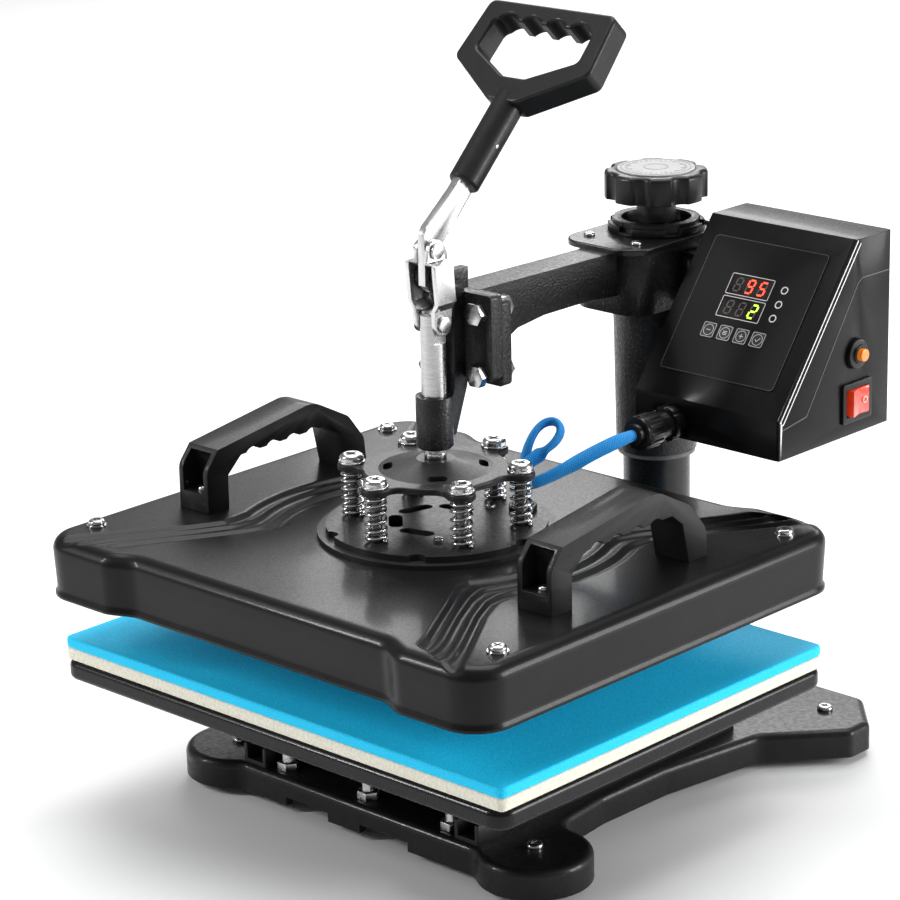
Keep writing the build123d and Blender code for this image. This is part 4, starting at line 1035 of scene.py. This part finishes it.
def panel_lines():
    """Frames round the displays, rings round the lamps and the panel's border."""
    frames = [round_box(x, s, 33.6, 14.2, 0.8) for x, s in DISPLAY_AT]
    rings = [circle(x, s, 2.3) for x, s in LAMP_AT]
    border = round_box(104.7, 65.6, 90.6, 95.1, 2.6)
    slope_print("display_frames", frames, 0.45, PANEL_LIFT, 0.12, "arm", "white")
    slope_print("lamp_rings", rings, 0.8, PANEL_LIFT, 0.12, "arm", "white")
    slope_print("panel_border", [border], 0.22, PANEL_LIFT, 0.06, "arm", "grey")


SEGMENTS = {"a": ((-1, 2), (1, 2)), "b": ((1, 2), (1, 0)), "c": ((1, 0), (1, -2)), "d": ((-1, -2), (1, -2)),
            "e": ((-1, 0), (-1, -2)), "f": ((-1, 2), (-1, 0)), "g": ((-1, 0), (1, 0))}
DIGITS = {"8": "abcdefg", "9": "abcdfg", "5": "acdfg", "2": "abdeg", "": ""}
SEGMENT_X, SEGMENT_S, SEGMENT_GAP, DIGIT_SLANT, DIGIT_PITCH = 2.3, 2.25, 0.55, 0.13, 9.6


def digit_lines(x, s, names):
    """Slanted seven-segment strokes of one digit."""
    lines = []
    for name in names:
        (ax, ay), (bx, by) = SEGMENTS[name]
        a, b = Vector((ax * SEGMENT_X, ay * SEGMENT_S)), Vector((bx * SEGMENT_X, by * SEGMENT_S))
        along = (b - a).normalized() * SEGMENT_GAP
        lines.append([(x + p.x + DIGIT_SLANT * p.y, s + p.y) for p in (a + along, b - along)])
    return lines


def displays():
    """Digits behind each window: lit segments in red or green, and the unlit ones in grey."""
    shown = ((("", "9", "5"), "red"), (("", "", "2"), "green"))
    for row, ((x, s), (digits, colour)) in enumerate(zip(DISPLAY_AT, shown)):
        on, off = [], []
        for k, digit in enumerate(digits):
            at = x + DIGIT_PITCH * (k - 1)
            on += digit_lines(at, s, DIGITS[digit])
            off += digit_lines(at, s, [n for n in DIGITS["8"] if n not in DIGITS[digit]])
        slope_print(f"digits_on_{row}", on, 1.15, WINDOW_LIFT, 0.1, "arm", colour, False)
        slope_print(f"digits_off_{row}", off, 1.05, WINDOW_LIFT, 0.06, "arm", "off", False)


def key_marks():
    """A square, a circle and a plain symbol on each key."""
    icons = {"key_minus": [[(-1.6, 0), (1.6, 0)]],
             "key_plus": [[(-1.7, 0), (1.7, 0)], [(0, -1.7), (0, 1.7)]],
             "key_mode": [[(-1.6, 1.0), (1.6, 1.0)], [(-1.6, 0), (1.6, 0)], [(-1.6, -1.0), (1.6, -1.0)]],
             "key_set": [[(-1.7, 0.1), (-0.4, -1.3), (1.8, 1.4)]]}
    for key, x in KEY_AT.items():
        outlines = [round_box(x, KEY_S, 9.6, 9.6, 1.0), circle(x, KEY_S, 3.7)]
        slope_print(key + "_outline", outlines, 0.30, KEY_LIFT, 0.08, key, "white")
        marks = [[(x + u, KEY_S + v) for u, v in line] for line in icons[key]]
        slope_print(key + "_symbol", marks, 0.42, KEY_LIFT, 0.08, key, "white", False)


RIB_INSETS, RIB_EDGE = (1.2, 4.6), 1.0


def side_lines():
    """Folded ribs along the slope edge of the side cover, coloured bright silver as a painted highlight of
    the light that their folds catch, and the stepped field line.
    """
    front, bend = (SLOPE_FRONT.y / MM, SLOPE_FRONT.z / MM), (SLOPE_BACK.y / MM, SLOPE_BACK.z / MM)
    back, low = SIDE_HIGH.y / MM, SIDE_LOW.z / MM
    length = hypot(bend[0] - front[0], bend[1] - front[1])
    ny, nz = -(bend[1] - front[1]) / length, (bend[0] - front[0]) / length
    edge = front[0] + RIB_EDGE
    for k, inset in enumerate(RIB_INSETS):
        line = [(edge, low + RIB_EDGE), (edge + 0.25 * inset, front[1] - 0.6 * inset),
                (front[0] - ny * inset, front[1] - nz * inset), (bend[0] - ny * inset, bend[1] - nz * inset)]
        # Each rib is drawn in the bright silver finish, which is a painted highlight.
        print_lines(f"side_rib_{k}", [line], 0.75, on_side, -0.1, 0.45, "arm", "painted_highlight", False)
    field = [(front[0] + 2.0, front[1] - 6.6), (front[0] + 27.1, front[1] - 3.1),
             (bend[0] + 1.3, bend[1] - 28.4), (bend[0] + 5.8, bend[1] - 25.6), (back - 1.6, bend[1] - 25.9)]
    print_lines("side_field", [field], 0.55, on_side, -0.1, 0.3, "arm", "grey", False)


ROCKER_FACE_X, ROCKER_MIDDLE_Y, ROCKER_SLOPE, ROCKER_TILT = 166.8, 165.0, 0.16, radians(7.0)


def switch_mark():
    """A ring on the rear half of the rocker, on its slanted face."""
    low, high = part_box("rocker")
    y, z = (low.y + 0.78 * (high.y - low.y)) / MM, (low.z + high.z) / 2 / MM

    def place(u, v, lift):
        x = ROCKER_FACE_X + (u - ROCKER_MIDDLE_Y) * (ROCKER_SLOPE - sin(ROCKER_TILT))
        return Vector(((x + lift) * MM, u * MM, v * MM))

    print_lines("rocker_ring", [circle(y, z, 1.9)], 0.5, place, 0.1, 0.6, "rocker", "white")


# ---- pressure knob ----
CAP_RINGS, CAP_TICKS, TICK_OUTER, TICK_INNER, LONG_TICK_INNER = (23.0, 8.0), 36, 20.5, 18.5, 16.5


def knob_marks():
    """Two rings and a scale of tick marks on the cap disc."""
    centre = (CAP_LOW + CAP_HIGH) / 2

    def place(u, v, lift):
        return Vector((centre.x + u * MM, centre.y + v * MM, CAP_HIGH.z + lift * MM))

    rings = [circle(0, 0, CAP_RINGS[0], 72), circle(0, 0, CAP_RINGS[1], 48)]
    print_lines("cap_rings", rings, 0.5, place, -0.05, 0.12, "knob", "grey")
    ticks = []
    for k in range(CAP_TICKS):
        angle, inner = 2 * pi * k / CAP_TICKS, TICK_INNER if k % 3 else LONG_TICK_INNER
        ticks.append([(r * cos(angle), r * sin(angle)) for r in (inner, TICK_OUTER)])
    print_lines("cap_ticks", ticks, 0.45, place, -0.05, 0.12, "knob", "grey", False)


add_camera()
add_lights()
add_floor()
paint_nodes()
for node_name, edge_width in SOFT_EDGES.items():
    softened(node_name, edge_width * MM)
head_cover()
pad_piece("foam_slab", "foam_layer", "pad_foam", edge=0.0012, waviness=0.0002)
pad_piece("silicone_slab", "silicone_pad", "pad_silicone", edge=0.0016, waviness=0.0003)
coil_springs()
heater_lead()
panel_lines()
displays()
key_marks()
side_lines()
switch_mark()
knob_marks()

bpy.context.view_layer.update()
